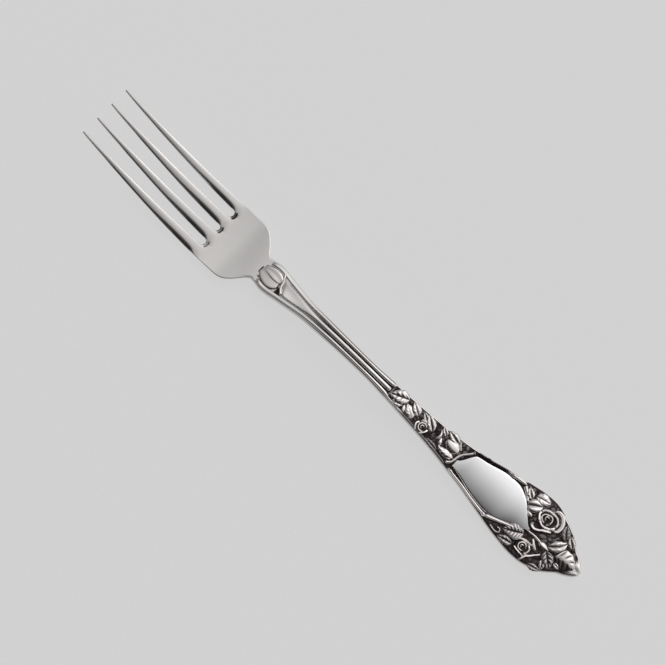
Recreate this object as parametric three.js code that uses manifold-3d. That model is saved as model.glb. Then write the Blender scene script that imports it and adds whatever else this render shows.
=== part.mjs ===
// A silver dessert fork lying face up: a forged blank with its ornament soldered to the face.
//
// The blank runs in one piece from the tine tips to the handle end. On its face sit three reeds,
// a bud at the neck, a plain monogram panel in a border of twigs, and sprays of roses and leaves.
// Millimetres. +X runs from the tines to the handle end, +Y to the eater's right, +Z up.
// The origin lies on the table under the middle of the fork.

import * as THREE from "three";
import { mergeVertices } from "three/addons/utils/BufferGeometryUtils.js";
import Module from "manifold-3d";

const wasm = await Module();
wasm.setup();

// Lengths along the fork, one after another from the tine tips to the handle end
const tineLength = 43;
const rootLength = 15.5;
const collarLength = 9.1;
const stemLength = 39;
const sprayLength = 25;
const panelLength = 26.5;
const clusterLength = 17.5;

// Landmarks between those lengths
const restSetback = 2.5; // slot ends to the flat under the root
const collarBulge = 3.7; // neck to the widest point round the bud
const spearLength = 10; // the middle reed's flat spear
const archSetback = 17.5; // crown of the arch to the end of the stem
const waistSetback = 8; // thinnest point to the end of the stem
const sprayMiddle = 16; // start of the spray to where it widens faster
const clusterFall = 9.1; // widest point to where the end draws in faster
const endFall = 10.9; // widest point to halfway down that fall
const endLeafLength = 4.2; // the round lobe at the handle end
const reedSetback = 1.2; // neck to the start of the side reeds
const rightReedOverrun = 0.4; // end of the stem to the end of the right reed
const leftReedSetback = 1.6; // end of the left reed to the panel

// Tines and slots
const tinePitch = 5.35;
const tineTipWidth = 0.55;
const tineRootWidth = 2.95;
const tineSwell = 0.65;
const slotRound = 1.2;

// Outline, as full widths
const shoulderLength = 9.8;
const shoulderHold = 1.7;
const neckWidth = 7.9;
const collarWidth = 9;
const collarEndWidth = 7.6;
const stemHeadWidth = 5.3;
const waistWidth = 4.4;
const sprayStartWidth = 5.1;
const sprayMiddleWidth = 7.2;
const panelStartWidth = 9.4;
const clusterWidth = 18.8;
const clusterFallWidth = 13.9;
const endFallWidth = 11.3;
const endLeafWidth = 7.6;
const endRound = 4.2;
const endDrop = 0.5; // 0.5 closes the end as an ellipse, 1 as a parabola
const endFlat = 0.7;

// Side view: how far the back stands off the table, and how thick the blank is
const tipRise = 13;
const neckRise = 0.9;
const archRise = 3.9;
const rootRestLength = 3;
const handleRestLength = 24;
const tipThickness = 0.9;
const rootThickness = 2.1;
const neckThickness = 2.9;
const stemThickness = 3.1;
const panelThickness = 2.4;
const endThickness = 1.9;

// Rounding of the blank's edges, measured in from the outline
const headEdgeRound = 1.4;
const faceEdgeRound = 0.35;
const backEdgeRound = 1.5;

// Ornament: the film of solder under it, and the groove left between neighbours
const solderFilm = 0.08;
const groove = 0.3;
const reedGroove = 0.25;
const faceInset = faceEdgeRound + 0.05;
const reedRise = 0.75;
const centreReedWidth = 1.3;
const spearWidth = 3.6;
const collarReedWidth = 1.1;
const rimWidth = 0.55;
const rimRise = 0.5;
const panelRise = 0.7;

// Stations: distance of each landmark from the tine tips
const slotEnd = tineLength;
const neck = slotEnd + rootLength;
const collarEnd = neck + collarLength;
const stemEnd = collarEnd + stemLength;
const panelStart = stemEnd + sprayLength;
const clusterStart = panelStart + panelLength;
const overallLength = clusterStart + clusterLength;
const waist = stemEnd - waistSetback;
const archTop = stemEnd - archSetback;
const frontRest = slotEnd + restSetback;
const handleRest = overallLength - handleRestLength;
const headHalfWidth = 1.5 * tinePitch + tineRootWidth / 2;

const silver = { color: 0xcfccc8, roughness: 0.22, metalness: 1 };
const blackenedSilver = { color: 0x9a9693, roughness: 0.35, metalness: 1 };

// A smooth line through points [position, value]: cubic stretches that never overshoot a point
function smoothLine(points) {
  const steps = points.slice(1).map(([x, y], i) => (y - points[i][1]) / (x - points[i][0]));
  const slopes = points.map((_, i) => {
    const before = steps[i - 1] ?? 0;
    const after = steps[i] ?? 0;
    return before * after > 0 ? (2 * before * after) / (before + after) : 0;
  });
  return (x) => {
    const last = points.length - 2;
    const found = points.findIndex(([edge]) => edge > x) - 1;
    const i = found < 0 ? (x < points[0][0] ? 0 : last) : found;
    const span = points[i + 1][0] - points[i][0];
    const t = THREE.MathUtils.clamp((x - points[i][0]) / span, 0, 1);
    const rise = points[i + 1][1] - points[i][1];
    const ease = t * t * (3 - 2 * t);
    const lean = span * t * (1 - t) * (slopes[i] * (1 - t) - slopes[i + 1] * t);
    return points[i][1] + rise * ease + lean;
  };
}

// Half width of the blank behind the slots
const handleOutline = smoothLine([
  [neck, neckWidth / 2],
  [neck + collarBulge, collarWidth / 2],
  [collarEnd, collarEndWidth / 2],
  [collarEnd + spearLength, stemHeadWidth / 2],
  [waist, waistWidth / 2],
  [stemEnd, sprayStartWidth / 2],
  [stemEnd + sprayMiddle, sprayMiddleWidth / 2],
  [panelStart, panelStartWidth / 2],
  [clusterStart, clusterWidth / 2],
  [clusterStart + clusterFall, clusterFallWidth / 2],
  [clusterStart + endFall, endFallWidth / 2],
  [overallLength - endLeafLength, endLeafWidth / 2],
  [overallLength, endLeafWidth * 0.36],
]);

function halfWidth(s) {
  if (s < slotEnd) {
    return 1.5 * tinePitch + tineWidth(s) / 2;
  }
  if (s < neck) {
    const t = Math.max(0, (s - neck + shoulderLength) / shoulderLength);
    const drop = THREE.MathUtils.smoothstep(t ** shoulderHold, 0, 1);
    return THREE.MathUtils.lerp(headHalfWidth, neckWidth / 2, drop);
  }
  const t = Math.max(0, (s - overallLength + endRound) / endRound);
  return Math.max(endFlat, handleOutline(s) * Math.max(0, 1 - t * t) ** endDrop);
}

function tineWidth(s) {
  const share = Math.min(1, s / slotEnd) ** tineSwell;
  return THREE.MathUtils.lerp(tineTipWidth, tineRootWidth, share);
}

// Half width of a slot: the space that the tines leave, closed by a round end
function slotHalfWidth(s) {
  const straight = slotEnd - slotRound;
  const gap = (tinePitch - tineWidth(Math.min(s, straight))) / 2;
  const t = Math.max(0, (s - straight) / slotRound);
  return gap * Math.sqrt(Math.max(0, 1 - t * t));
}

const archLine = smoothLine([
  [frontRest + rootRestLength, 0],
  [neck, neckRise],
  [archTop, archRise],
  [handleRest, 0],
]);

// Height of the back over the table: the tines sweep up, the root and the handle end lie on it
function backHeight(s) {
  if (s < frontRest) {
    return tipRise * (1 - s / frontRest) ** 2;
  }
  return s < frontRest + rootRestLength || s > handleRest ? 0 : archLine(s);
}

const thickness = smoothLine([
  [0, tipThickness],
  [slotEnd, rootThickness],
  [neck, neckThickness],
  [archTop, stemThickness],
  [panelStart, panelThickness],
  [overallLength, endThickness],
]);

const faceHeight = (s) => backHeight(s) + thickness(s);

// Distance from a point of the blank to the nearest free edge
function edgeDistance(s, y) {
  let distance = Math.min(s, overallLength - s, halfWidth(s) - Math.abs(y));
  const bend = slotEnd - slotRound;
  for (const centre of [-tinePitch, 0, tinePitch]) {
    const across = Math.abs(y - centre);
    const slot = s < bend
      ? across - slotHalfWidth(s)
      : Math.hypot((s - bend) / slotRound, across / slotHalfWidth(bend)) * slotRound - slotRound;
    distance = Math.min(distance, slot);
  }
  return Math.max(0, distance);
}

// Quarter-round edge: 0 at the outline, 1 once the distance passes the rounding
const roundedEdge = (distance, rounding) => {
  const t = Math.min(1, distance / rounding);
  return Math.sqrt(t * (2 - t));
};

// Edge lines of the four strips that the blank is skinned with, from left to right
function stripEdges(s) {
  const strips = [];
  for (let i = 0; i < 4; i += 1) {
    if (s < slotEnd) {
      const centre = (i - 1.5) * tinePitch;
      const towardSlot = tinePitch / 2 - slotHalfWidth(s);
      const outer = tineWidth(s) / 2;
      strips.push([centre - (i === 0 ? outer : towardSlot), centre + (i === 3 ? outer : towardSlot)]);
    } else {
      const share = tinePitch / headHalfWidth;
      const lines = [-1, -share, 0, share, 1].map((line) => line * halfWidth(s));
      strips.push([lines[i], lines[i + 1]]);
    }
  }
  return strips;
}

// Stations from start to end, about one step apart
function stations(start, end, step) {
  const count = Math.max(1, Math.round((end - start) / step));
  return Array.from({ length: count }, (_, i) => start + ((end - start) * i) / count);
}

function blankStations() {
  const bend = slotEnd - slotRound;
  const turn = [0, 0.45, 0.75, 0.93].map((share) => bend + share * slotRound);
  const endTurn = [0, 0.35, 0.65, 0.88, 1].map((share) => overallLength - endRound + share * endRound);
  return [
    0,
    0.5,
    ...stations(1.5, bend, 3.7),
    ...turn,
    slotEnd,
    slotEnd + 0.35,
    ...stations(slotEnd + 1, frontRest, 1.5),
    ...stations(frontRest, frontRest + rootRestLength, rootRestLength),
    ...stations(frontRest + rootRestLength, neck - 6, 1.9),
    ...stations(neck - 6, collarEnd, 1.5),
    ...stations(collarEnd, stemEnd, 3.6),
    ...stations(stemEnd, handleRest, 3),
    ...stations(handleRest, overallLength - endRound, 2.4),
    ...endTurn,
  ];
}

// The blank: four strips run its whole length. Each is a tine of its own ahead of the slots' ends,
// and behind them the strips meet edge to edge. Face and back close on each other at every free edge.
function makeBlank() {
  const rows = [0, 0.15, 0.5, 0.85, 1];
  const line = blankStations();
  const points = [];
  const index = [];
  for (const side of [1, -1]) {
    for (let strip = 0; strip < 4; strip += 1) {
      const first = points.length / 3;
      for (const s of line) {
        const [left, right] = stripEdges(s)[strip];
        for (const row of rows) {
          const y = THREE.MathUtils.lerp(left, right, row);
          points.push(s, y, blankHeight(s, y, side));
        }
      }
      for (let i = 0; i < line.length - 1; i += 1) {
        for (let j = 0; j < rows.length - 1; j += 1) {
          const a = first + i * rows.length + j;
          const b = a + rows.length;
          const quad = side > 0 ? [a, b, b + 1, a, b + 1, a + 1] : [a, b + 1, b, a, a + 1, b + 1];
          index.push(...quad);
        }
      }
    }
  }
  return mergeVertices(meshGeometry(points, index), weld);
}

// Height of the face (side 1) or the back (side -1) of the blank
function blankHeight(s, y, side) {
  const half = thickness(s) / 2;
  const towardHandle = THREE.MathUtils.smoothstep(s, slotEnd, neck);
  const handleRound = side > 0 ? faceEdgeRound : backEdgeRound;
  const rounding = THREE.MathUtils.lerp(headEdgeRound, handleRound, towardHandle);
  return backHeight(s) + half + side * half * roundedEdge(edgeDistance(s, y), rounding);
}

function meshGeometry(points, index) {
  const geometry = new THREE.BufferGeometry();
  geometry.setAttribute("position", new THREE.Float32BufferAttribute(points, 3));
  geometry.setIndex(index);
  return geometry;
}

// A place on the face: station along the fork, and share of the half width there
const place = ([s, share]) => new THREE.Vector2(s, share * halfWidth(s));

// A moulding on the face. Each ring runs from its left edge to its right edge over a section of
// [share across, share of the rise], and a point in the middle closes it at either end.
function moulding(edges, section, floor = 0) {
  const points = [];
  const index = [];
  const size = section.length + 2;
  for (const { left, right, rise } of edges) {
    points.push(left.x, left.y, floor, right.x, right.y, floor);
    for (const [share, height] of section) {
      const p = left.clone().lerp(right, share);
      points.push(p.x, p.y, rise * height);
    }
  }
  for (let i = 0; i < edges.length - 1; i += 1) {
    for (let k = 0; k < size; k += 1) {
      const a = i * size + k;
      const b = i * size + ((k + 1) % size);
      index.push(a, b, b + size, a, b + size, a + size);
    }
  }
  for (const [ring, turn] of [[0, -1], [edges.length - 1, 1]]) {
    const { left, right, rise } = edges[ring];
    const centre = points.length / 3;
    points.push((left.x + right.x) / 2, (left.y + right.y) / 2, (floor + rise * 0.5) / 2);
    for (let k = 0; k < size; k += 1) {
      const a = ring * size + k;
      const b = ring * size + ((k + 1) % size);
      index.push(...(turn > 0 ? [a, b, centre] : [b, a, centre]));
    }
  }
  return mergeVertices(meshGeometry(points, index), weld);
}

// A tall prism over the same edges, to cut with
const prism = (edges) => solidOf(
  moulding(edges.map((edge) => ({ ...edge, rise: cutReach })), cutSection, -cutReach),
);

// Sections of mouldings, from the right edge to the left edge
const leafSection = [[1, 0.45], [0.74, 1], [0.5, 0.62], [0.26, 1], [0, 0.45]];
const budSection = [[1, 0.35], [0.82, 0.8], [0.5, 1], [0.18, 0.8], [0, 0.35]];
const reedSection = [[1, 0.3], [0.8, 0.85], [0.5, 1], [0.2, 0.85], [0, 0.3]];
const petalSection = [[1, 0.5], [0.84, 1], [0, 0.4]];
const panelSection = [[1, 0.55], [0.85, 0.8], [0.5, 1], [0.15, 0.8], [0, 0.55]];
const cutSection = [[1, 1], [0, 1]];
const cutReach = 20;

// Facets: degrees round a petal, and millimetres along a reed
const petalStep = 26;
const reedStep = 2.6;
const weld = 1e-4; // points closer than this are one point

// Bends flat ornament to the arch of the face, on its film of solder
function laidOnFace(geometry) {
  const points = geometry.attributes.position;
  for (let i = 0; i < points.count; i += 1) {
    points.setZ(i, points.getZ(i) + faceHeight(points.getX(i)) + solderFilm);
  }
  return geometry;
}

// Seats a flat-backed piece on the face as a whole, along the slope at one station
function seatedOnFace(geometry, seat) {
  const slope = faceHeight(seat + 0.5) - faceHeight(seat - 0.5);
  const points = geometry.attributes.position;
  for (let i = 0; i < points.count; i += 1) {
    const lift = faceHeight(seat) + slope * (points.getX(i) - seat) + solderFilm;
    points.setZ(i, points.getZ(i) + lift);
  }
  return geometry;
}

function solidOf(geometry) {
  const mesh = new wasm.Mesh({
    numProp: 3,
    vertProperties: new Float32Array(geometry.attributes.position.array),
    triVerts: new Uint32Array(geometry.index.array),
  });
  const solid = new wasm.Manifold(mesh);
  return solid.volume() < 0 ? solidOf(turnedInsideOut(geometry)) : solid;
}

function turnedInsideOut(geometry) {
  const turned = geometry.clone();
  const index = turned.index.array;
  for (let i = 0; i < index.length; i += 3) {
    [index[i + 1], index[i + 2]] = [index[i + 2], index[i + 1]];
  }
  return turned;
}

// Edges of a strip that follows a curve on the face, with its half width and rise along the way
function stripAlong(curve, steps, halfWidthAt, riseAt) {
  return Array.from({ length: steps + 1 }, (_, i) => {
    const u = i / steps;
    const p = curve.getPoint(u);
    const t = curve.getTangent(u);
    const across = new THREE.Vector2(t.y, -t.x).multiplyScalar(halfWidthAt(u));
    return { left: p.clone().sub(across), right: p.clone().add(across), rise: riseAt(u) };
  });
}

// A piece of ornament: its solid, and the prism that its neighbours are cut back by
const ornament = (name, edgesAt, section, gap = groove) => ({
  name,
  solid: solidOf(laidOnFace(moulding(edgesAt(0), section))),
  cutter: prism(edgesAt(gap)),
});

// A leaf or bud: its middle line bows sideways from base to tip, and its outline swells and tapers
function leaf(name, { base, tip, width, bow = 0, rise = 0.9, section = leafSection }) {
  const from = place(base);
  const to = place(tip);
  const along = to.clone().sub(from).normalize();
  const edgesAt = (grow) => {
    const start = from.clone().addScaledVector(along, -grow);
    const end = to.clone().addScaledVector(along, grow);
    const sideways = new THREE.Vector2(-along.y, along.x);
    const middle = start.clone().lerp(end, 0.5).addScaledVector(sideways, 2 * bow);
    const curve = new THREE.QuadraticBezierCurve(start, middle, end);
    const swell = (u) => Math.sin(Math.PI * (0.03 + 0.94 * u) ** 0.8) ** 0.8;
    return stripAlong(curve, 6, (u) => (width / 2 + grow) * swell(u), (u) => rise * (0.55 + 0.45 * swell(u)));
  };
  return ornament(name, edgesAt, section);
}

// A twig or stem: a round bar through points on the face, from its first width to its last
function twig(name, { through, widths, rise = 0.75 }) {
  const points = through.map(place);
  const outward = (end, next) => end.clone().sub(next).normalize();
  const edgesAt = (grow) => {
    const first = points[0].clone().addScaledVector(outward(points[0], points[1]), grow);
    const last = points.at(-1).clone().addScaledVector(outward(points.at(-1), points.at(-2)), grow);
    const curve = new THREE.SplineCurve([first, ...points.slice(1, -1), last]);
    const half = (u) => THREE.MathUtils.lerp(widths[0], widths[1], u) / 2 + grow;
    return stripAlong(curve, 3 * (points.length - 1), half, () => rise);
  };
  return ornament(name, edgesAt, reedSection);
}

// One petal of a rose: a rim that runs round the rose's heart, with a slope down to the inside
function petal(heart, { from, to, radii, depth, rise }, grow) {
  const radius = smoothLine(radii.map((r, i) => [i / (radii.length - 1), r]));
  const steps = Math.max(3, Math.round((to - from) / petalStep));
  const margin = THREE.MathUtils.radToDeg(grow / radius(0.5));
  const edges = Array.from({ length: steps + 1 }, (_, i) => {
    const u = i / steps;
    const angle = THREE.MathUtils.degToRad(THREE.MathUtils.lerp(from - margin, to + margin, u));
    const ray = new THREE.Vector2(Math.cos(angle), Math.sin(angle));
    const r = radius(u);
    const taper = 0.7 + 0.3 * Math.sin(Math.PI * u);
    return {
      left: heart.clone().addScaledVector(ray, Math.max(0.12, r - depth - grow)),
      right: heart.clone().addScaledVector(ray, r + grow),
      rise: rise * taper,
    };
  });
  return grow > 0 ? prism(edges) : solidOf(moulding(edges, petalSection));
}

// A rose: a low round bed with petals standing on it. Its back is flat, so it is seated as a whole.
function rose(name, { heart, bedRadius, bedRise, petals }) {
  const centre = place(heart);
  const disc = (radius, floor, rise) => {
    const geometry = new THREE.CylinderGeometry(radius, radius, rise - floor, 14).rotateX(Math.PI / 2);
    geometry.translate(centre.x, centre.y, (rise + floor) / 2);
    geometry.deleteAttribute("normal");
    geometry.deleteAttribute("uv");
    return mergeVertices(geometry, weld);
  };
  const joined = (start, grow) => petals.reduce((sum, each) => sum.add(petal(centre, each, grow)), start);
  return {
    name,
    solid: joined(solidOf(disc(bedRadius, 0, bedRise)), 0),
    cutter: joined(solidOf(disc(bedRadius + groove, -cutReach, cutReach)), groove),
    seat: centre.x,
  };
}

// Half width of the middle reed, which opens into a flat spear below the bud
const centreReedHalf = smoothLine([
  [collarEnd, spearWidth / 2],
  [collarEnd + spearLength, centreReedWidth / 2],
  [stemEnd, centreReedWidth / 2],
]);
const faceHalfWidth = (s) => halfWidth(s) - faceInset;

function centreReed() {
  const edgesAt = (grow) => [...stations(collarEnd - grow, stemEnd, reedStep), stemEnd + grow].map((s) => ({
    left: new THREE.Vector2(s, -centreReedHalf(s) - grow),
    right: new THREE.Vector2(s, centreReedHalf(s) + grow),
    rise: reedRise,
  }));
  return ornament("centre_reed", edgesAt, reedSection, reedGroove);
}

// A side reed: it skirts the bud, runs beside the middle reed and may thin to a rim along the spray
function sideReed(name, side, end) {
  const innerLine = (s) => {
    const skirt = faceHalfWidth(s) - collarReedWidth;
    if (s < collarEnd) {
      return skirt;
    }
    return s < stemEnd ? Math.max(centreReedHalf(s) + reedGroove, skirt) : faceHalfWidth(s) - rimWidth;
  };
  const edgesAt = (grow) => [...stations(neck + reedSetback - grow, end, reedStep), end + grow].map((s) => ({
    left: new THREE.Vector2(s, side * (innerLine(s) - grow)),
    right: new THREE.Vector2(s, side * (faceHalfWidth(s) + grow)),
    rise: s < stemEnd ? reedRise : rimRise,
  }));
  return ornament(name, edgesAt, reedSection);
}

// Places on the face, by distance from the start of a stretch or by share of the panel's length
const fromNeck = (along, share) => [neck + along, share];
const fromSpray = (along, share) => [stemEnd + along, share];
const fromPanel = (lengthShare, share) => [panelStart + lengthShare * panelLength, share];
const fromCluster = (along, share) => [clusterStart + along, share];

// The monogram panel: left and right edges as shares of the half width, by share of its length
function monogramPanel() {
  const line = [
    [0.01, -0.62, -0.17],
    [0.135, -0.68, 0.71],
    [0.28, -0.78, 0.77],
    [0.45, -0.8, 0.82],
    [0.6, -0.72, 0.76],
    [0.78, -0.46, 0.49],
    [0.89, -0.27, 0.2],
    [1, -0.14, -0.04],
  ];
  const edgesAt = () => line.map(([along, low, high]) => ({
    left: place(fromPanel(along, low)),
    right: place(fromPanel(along, high)),
    rise: panelRise,
  }));
  return ornament("monogram_panel", edgesAt, panelSection);
}

// Ornament in front cuts back what lies behind it, so the pieces are listed from front to back
const ornaments = [
  rose("large_rose", {
    heart: fromCluster(1.4, 0.49),
    bedRadius: 2.3,
    bedRise: 0.5,
    petals: [
      { from: -30, to: 95, radii: [3.6, 4.8, 5, 4.85, 4.2, 2.5], depth: 1.4, rise: 0.85 },
      { from: 215, to: 335, radii: [3.3, 4.4, 4.15, 3.45, 4.1], depth: 1.4, rise: 0.8 },
      { from: -60, to: 25, radii: [2.6, 3.3, 3.5, 2.7], depth: 1.1, rise: 1 },
      { from: 19, to: 165, radii: [3.7, 2.45, 2.05, 2.1, 2.4], depth: 0.8, rise: 1.2 },
      { from: 165, to: 300, radii: [2.5, 2.2, 1.9, 2.45], depth: 0.8, rise: 1.2 },
      { from: -60, to: 285, radii: [1.75, 1.6, 1.15, 1.5, 1.35], depth: 0.55, rise: 1.4 },
      { from: 0, to: 300, radii: [0.75, 0.6, 0.7], depth: 0.5, rise: 1.55 },
    ],
  }),
  rose("small_rose", {
    heart: fromCluster(1.6, -0.57),
    bedRadius: 2.2,
    bedRise: 0.45,
    petals: [
      { from: 22, to: 84, radii: [3.95, 3.55, 3.85], depth: 1.1, rise: 0.75 },
      { from: -42, to: 22, radii: [2.9, 3.6, 5.2], depth: 1.1, rise: 0.8 },
      { from: -125, to: -40, radii: [3.3, 3.65, 3.1], depth: 1.2, rise: 0.75 },
      { from: 57, to: 180, radii: [2.6, 2.1, 2.25, 3.2], depth: 0.8, rise: 1.15 },
      { from: 205, to: 322, radii: [2.45, 2, 2.5], depth: 0.5, rise: 1.1 },
      { from: -35, to: 60, radii: [2.2, 2.4, 2], depth: 0.8, rise: 1.05 },
      { from: 200, to: 325, radii: [1.9, 1.4, 1.75], depth: 0.5, rise: 1.25 },
      { from: 0, to: 330, radii: [1.2, 1.1, 1.15], depth: 0.5, rise: 1.35 },
      { from: 0, to: 300, radii: [0.6, 0.5, 0.6], depth: 0.4, rise: 1.5 },
    ],
  }),
  rose("spray_rose", {
    heart: fromSpray(12.5, -0.37),
    bedRadius: 1.6,
    bedRise: 0.4,
    petals: [
      { from: 45, to: 145, radii: [1.9, 1.85, 1.8], depth: 0.7, rise: 0.95 },
      { from: -85, to: 25, radii: [1.7, 1.45, 1.6], depth: 0.6, rise: 0.95 },
      { from: 150, to: 245, radii: [1.6, 1.95, 2.1], depth: 0.7, rise: 0.85 },
      { from: 0, to: 330, radii: [1, 0.95, 1], depth: 0.4, rise: 1.15 },
      { from: 0, to: 300, radii: [0.45, 0.4, 0.45], depth: 0.3, rise: 1.25 },
    ],
  }),
  leaf("neck_bud", { base: fromNeck(7, 0.04), tip: fromNeck(0.4, 0.21), width: 3.2, bow: -0.4,
    section: budSection }),
  leaf("neck_petal", { base: fromNeck(6.4, -0.34), tip: fromNeck(0.4, -0.34), width: 2.2, bow: 0.5 }),
  twig("neck_stem", {
    through: [fromNeck(5.9, 0.72), fromNeck(6.9, 0.36), fromNeck(7.6, -0.1), fromNeck(8.9, -0.5)],
    widths: [0.8, 0.8],
  }),
  leaf("cluster_bud", { base: fromCluster(-4.6, 0.42), tip: fromCluster(-1.6, 0.62), width: 2.5, rise: 1.1,
    section: budSection }),
  leaf("panel_bud", { base: fromSpray(23.6, 0.18), tip: fromSpray(19.7, 0.28), width: 2.4, rise: 1.1,
    section: budSection }),
  sideReed("right_reed", 1, stemEnd + rightReedOverrun),
  sideReed("left_reed", -1, panelStart - leftReedSetback),
  centreReed(),
  twig("panel_twig_end", {
    through: [fromPanel(-0.07, -0.76), fromPanel(-0.023, -0.5), fromPanel(-0.011, -0.1),
      fromPanel(0.008, 0.23), fromPanel(0.053, 0.57), fromPanel(0.08, 0.8)],
    widths: [0.6, 0.7],
  }),
  twig("panel_twig_right", {
    through: [fromPanel(0.105, 0.86), fromPanel(0.28, 0.87), fromPanel(0.45, 0.88),
      fromPanel(0.65, 0.88)],
    widths: [0.6, 0.9],
  }),
  twig("panel_twig_left", {
    through: [fromPanel(-0.008, -0.84), fromPanel(0.19, -0.86), fromPanel(0.38, -0.87),
      fromPanel(0.575, -0.85)],
    widths: [0.8, 0.8],
  }),
  twig("cluster_twig_left", {
    through: [fromPanel(0.6, -0.8), fromCluster(-5, -0.43), fromCluster(-0.6, -0.2)],
    widths: [0.8, 0.5],
  }),
  twig("cluster_twig_right", {
    through: [fromPanel(0.675, 0.78), fromCluster(-7, 0.63), fromCluster(-5.3, 0.46)],
    widths: [0.7, 0.7],
  }),
  leaf("spray_tip_leaf", { base: fromSpray(5.1, 0.57), tip: fromSpray(0.2, -0.23), width: 3.4 }),
  leaf("spray_side_leaf", { base: fromSpray(4.8, -0.18), tip: fromSpray(1.7, -0.72), width: 1.9 }),
  leaf("spray_leaf_left", { base: fromSpray(9.1, -0.45), tip: fromSpray(5.5, 0.18), width: 2.4 }),
  leaf("spray_leaf_right", { base: fromSpray(9.9, 0.1), tip: fromSpray(6.7, 0.79), width: 2.1 }),
  leaf("rose_leaf", { base: fromSpray(15.4, 0), tip: fromSpray(11.9, 0.82), width: 2.1 }),
  leaf("curled_leaf", { base: fromSpray(16.8, -0.22), tip: fromSpray(16.6, 0.6), width: 1.9, bow: -0.9 }),
  leaf("bud_leaf_left", { base: fromSpray(23.8, -0.29), tip: fromSpray(18.9, -0.41), width: 2, bow: 0.2 }),
  leaf("bud_leaf_right", { base: fromSpray(22.6, 0.55), tip: fromSpray(18.8, 0.9), width: 1.9 }),
  leaf("veined_leaf", { base: fromCluster(-0.4, -0.26), tip: fromCluster(-5.2, -0.61), width: 3.5 }),
  leaf("low_leaf", { base: fromCluster(-1, -0.7), tip: fromCluster(-5, -0.9), width: 2.1 }),
  leaf("upper_leaf", { base: fromCluster(-4.6, 0.76), tip: fromCluster(-0.5, 0.86), width: 2.3 }),
  leaf("inner_leaf", { base: fromCluster(-5.1, 0.5), tip: fromCluster(-6.4, 0.83), width: 1.7, bow: 0.3 }),
  leaf("corner_leaf", { base: fromCluster(-1.8, 0.25), tip: fromCluster(-4.2, 0.31), width: 1.1, rise: 0.7 }),
  leaf("heart_leaf", { base: fromCluster(6.6, -0.06), tip: fromCluster(9.9, 0.6), width: 2.8, bow: -0.5 }),
  leaf("right_leaf", { base: fromCluster(11.7, 0.71), tip: fromCluster(9.1, 0.8), width: 2 }),
  leaf("middle_leaf", { base: fromCluster(4, -0.13), tip: fromCluster(7.5, -0.16), width: 1.5, rise: 0.7 }),
  leaf("left_leaf", { base: fromCluster(7.1, -0.21), tip: fromCluster(10.8, -0.83), width: 3 }),
  leaf("left_edge_leaf", { base: fromCluster(5.8, -0.93), tip: fromCluster(9.4, -0.98), width: 1.7,
    rise: 0.7 }),
  leaf("tip_leaf", { base: fromCluster(9.7, -0.14), tip: fromCluster(16.8, -0.12), width: 5.6, bow: 0.4 }),
  twig("tendril", {
    through: [fromCluster(-8.6, -0.86), fromCluster(-6.4, -0.87), fromCluster(-5.4, -0.8),
      fromCluster(-5.7, -0.7), fromCluster(-6.7, -0.72)],
    widths: [0.5, 0.5],
    rise: 0.6,
  }),
  leaf("spray_low_leaf", { base: fromSpray(6.3, -0.76), tip: fromSpray(5.1, 0), width: 1.2, rise: 0.7 }),
  leaf("rose_back_leaf", { base: fromSpray(13.1, 0.18), tip: fromSpray(10.4, 0.73), width: 1.7,
    rise: 0.7 }),
  leaf("curled_leaflet", { base: fromSpray(19, -0.38), tip: fromSpray(18.3, 0.16), width: 1.1, rise: 0.7 }),
  leaf("upper_spray_leaf", { base: fromSpray(19, 0.44), tip: fromSpray(16.7, 0.87), width: 1.4,
    rise: 0.7 }),
  leaf("low_spray_leaf", { base: fromSpray(19.4, -0.73), tip: fromSpray(15.1, -0.68), width: 1.5,
    rise: 0.6 }),
  leaf("shade_leaf", { base: fromCluster(9, 0.55), tip: fromCluster(6.6, 0.91), width: 2.2, bow: 0.2,
    rise: 0.6 }),
  leaf("left_low_leaf", { base: fromCluster(8, -0.51), tip: fromCluster(9.3, -0.93), width: 1.7,
    rise: 0.7 }),
  leaf("tip_side_leaf", { base: fromCluster(10.4, -0.5), tip: fromCluster(13.1, -0.93), width: 1.4,
    rise: 0.6 }),
  twig("bud_stem", {
    through: [fromSpray(22.5, 0.78), fromSpray(23.5, 0.54), fromSpray(24.3, 0.33)],
    widths: [0.6, 0.6],
    rise: 0.7,
  }),
  twig("middle_stem", {
    through: [fromCluster(-0.1, -0.12), fromCluster(2.3, -0.1), fromCluster(4.4, -0.13)],
    widths: [0.7, 0.7],
    rise: 0.7,
  }),
  monogramPanel(),
];

// The flat of the face behind the slots, inside its rounded edge, as a tall prism
function facePrism() {
  const line = [...stations(neck, overallLength - endRound, 1.2), ...[0.2, 0.5, 0.75, 0.86].map(
    (share) => overallLength - endRound + share * endRound)];
  return prism(line.map((s) => ({
    left: new THREE.Vector2(s, -faceHalfWidth(s)),
    right: new THREE.Vector2(s, faceHalfWidth(s)),
  })));
}

// The largest body that is left of a piece once its neighbours have cut it
const largestBody = (solid) => solid.decompose().reduce((a, b) => (b.volume() > a.volume() ? b : a));

function geometryOf(solid) {
  const { vertProperties, triVerts } = solid.getMesh();
  return meshGeometry(Array.from(vertProperties), Array.from(triVerts));
}

// A mesh of the fork, moved so that the origin lies under the middle
function namedMesh(name, geometry, finish) {
  geometry.translate(-overallLength / 2, 0, 0);
  geometry.computeVertexNormals();
  const mesh = new THREE.Mesh(geometry, new THREE.MeshStandardMaterial(finish));
  mesh.name = name;
  return mesh;
}

const fork = new THREE.Group();
fork.add(namedMesh("fork_blank", makeBlank(), silver));
const face = facePrism();
const inFront = [];
for (const { name, solid, cutter, seat } of ornaments) {
  const cut = inFront.reduce((rest, neighbour) => rest.subtract(neighbour), solid.intersect(face));
  const piece = geometryOf(largestBody(cut));
  fork.add(namedMesh(name, seat === undefined ? piece : seatedOnFace(piece, seat), blackenedSilver));
  inFront.push(cutter);
}

export default fork;
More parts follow.
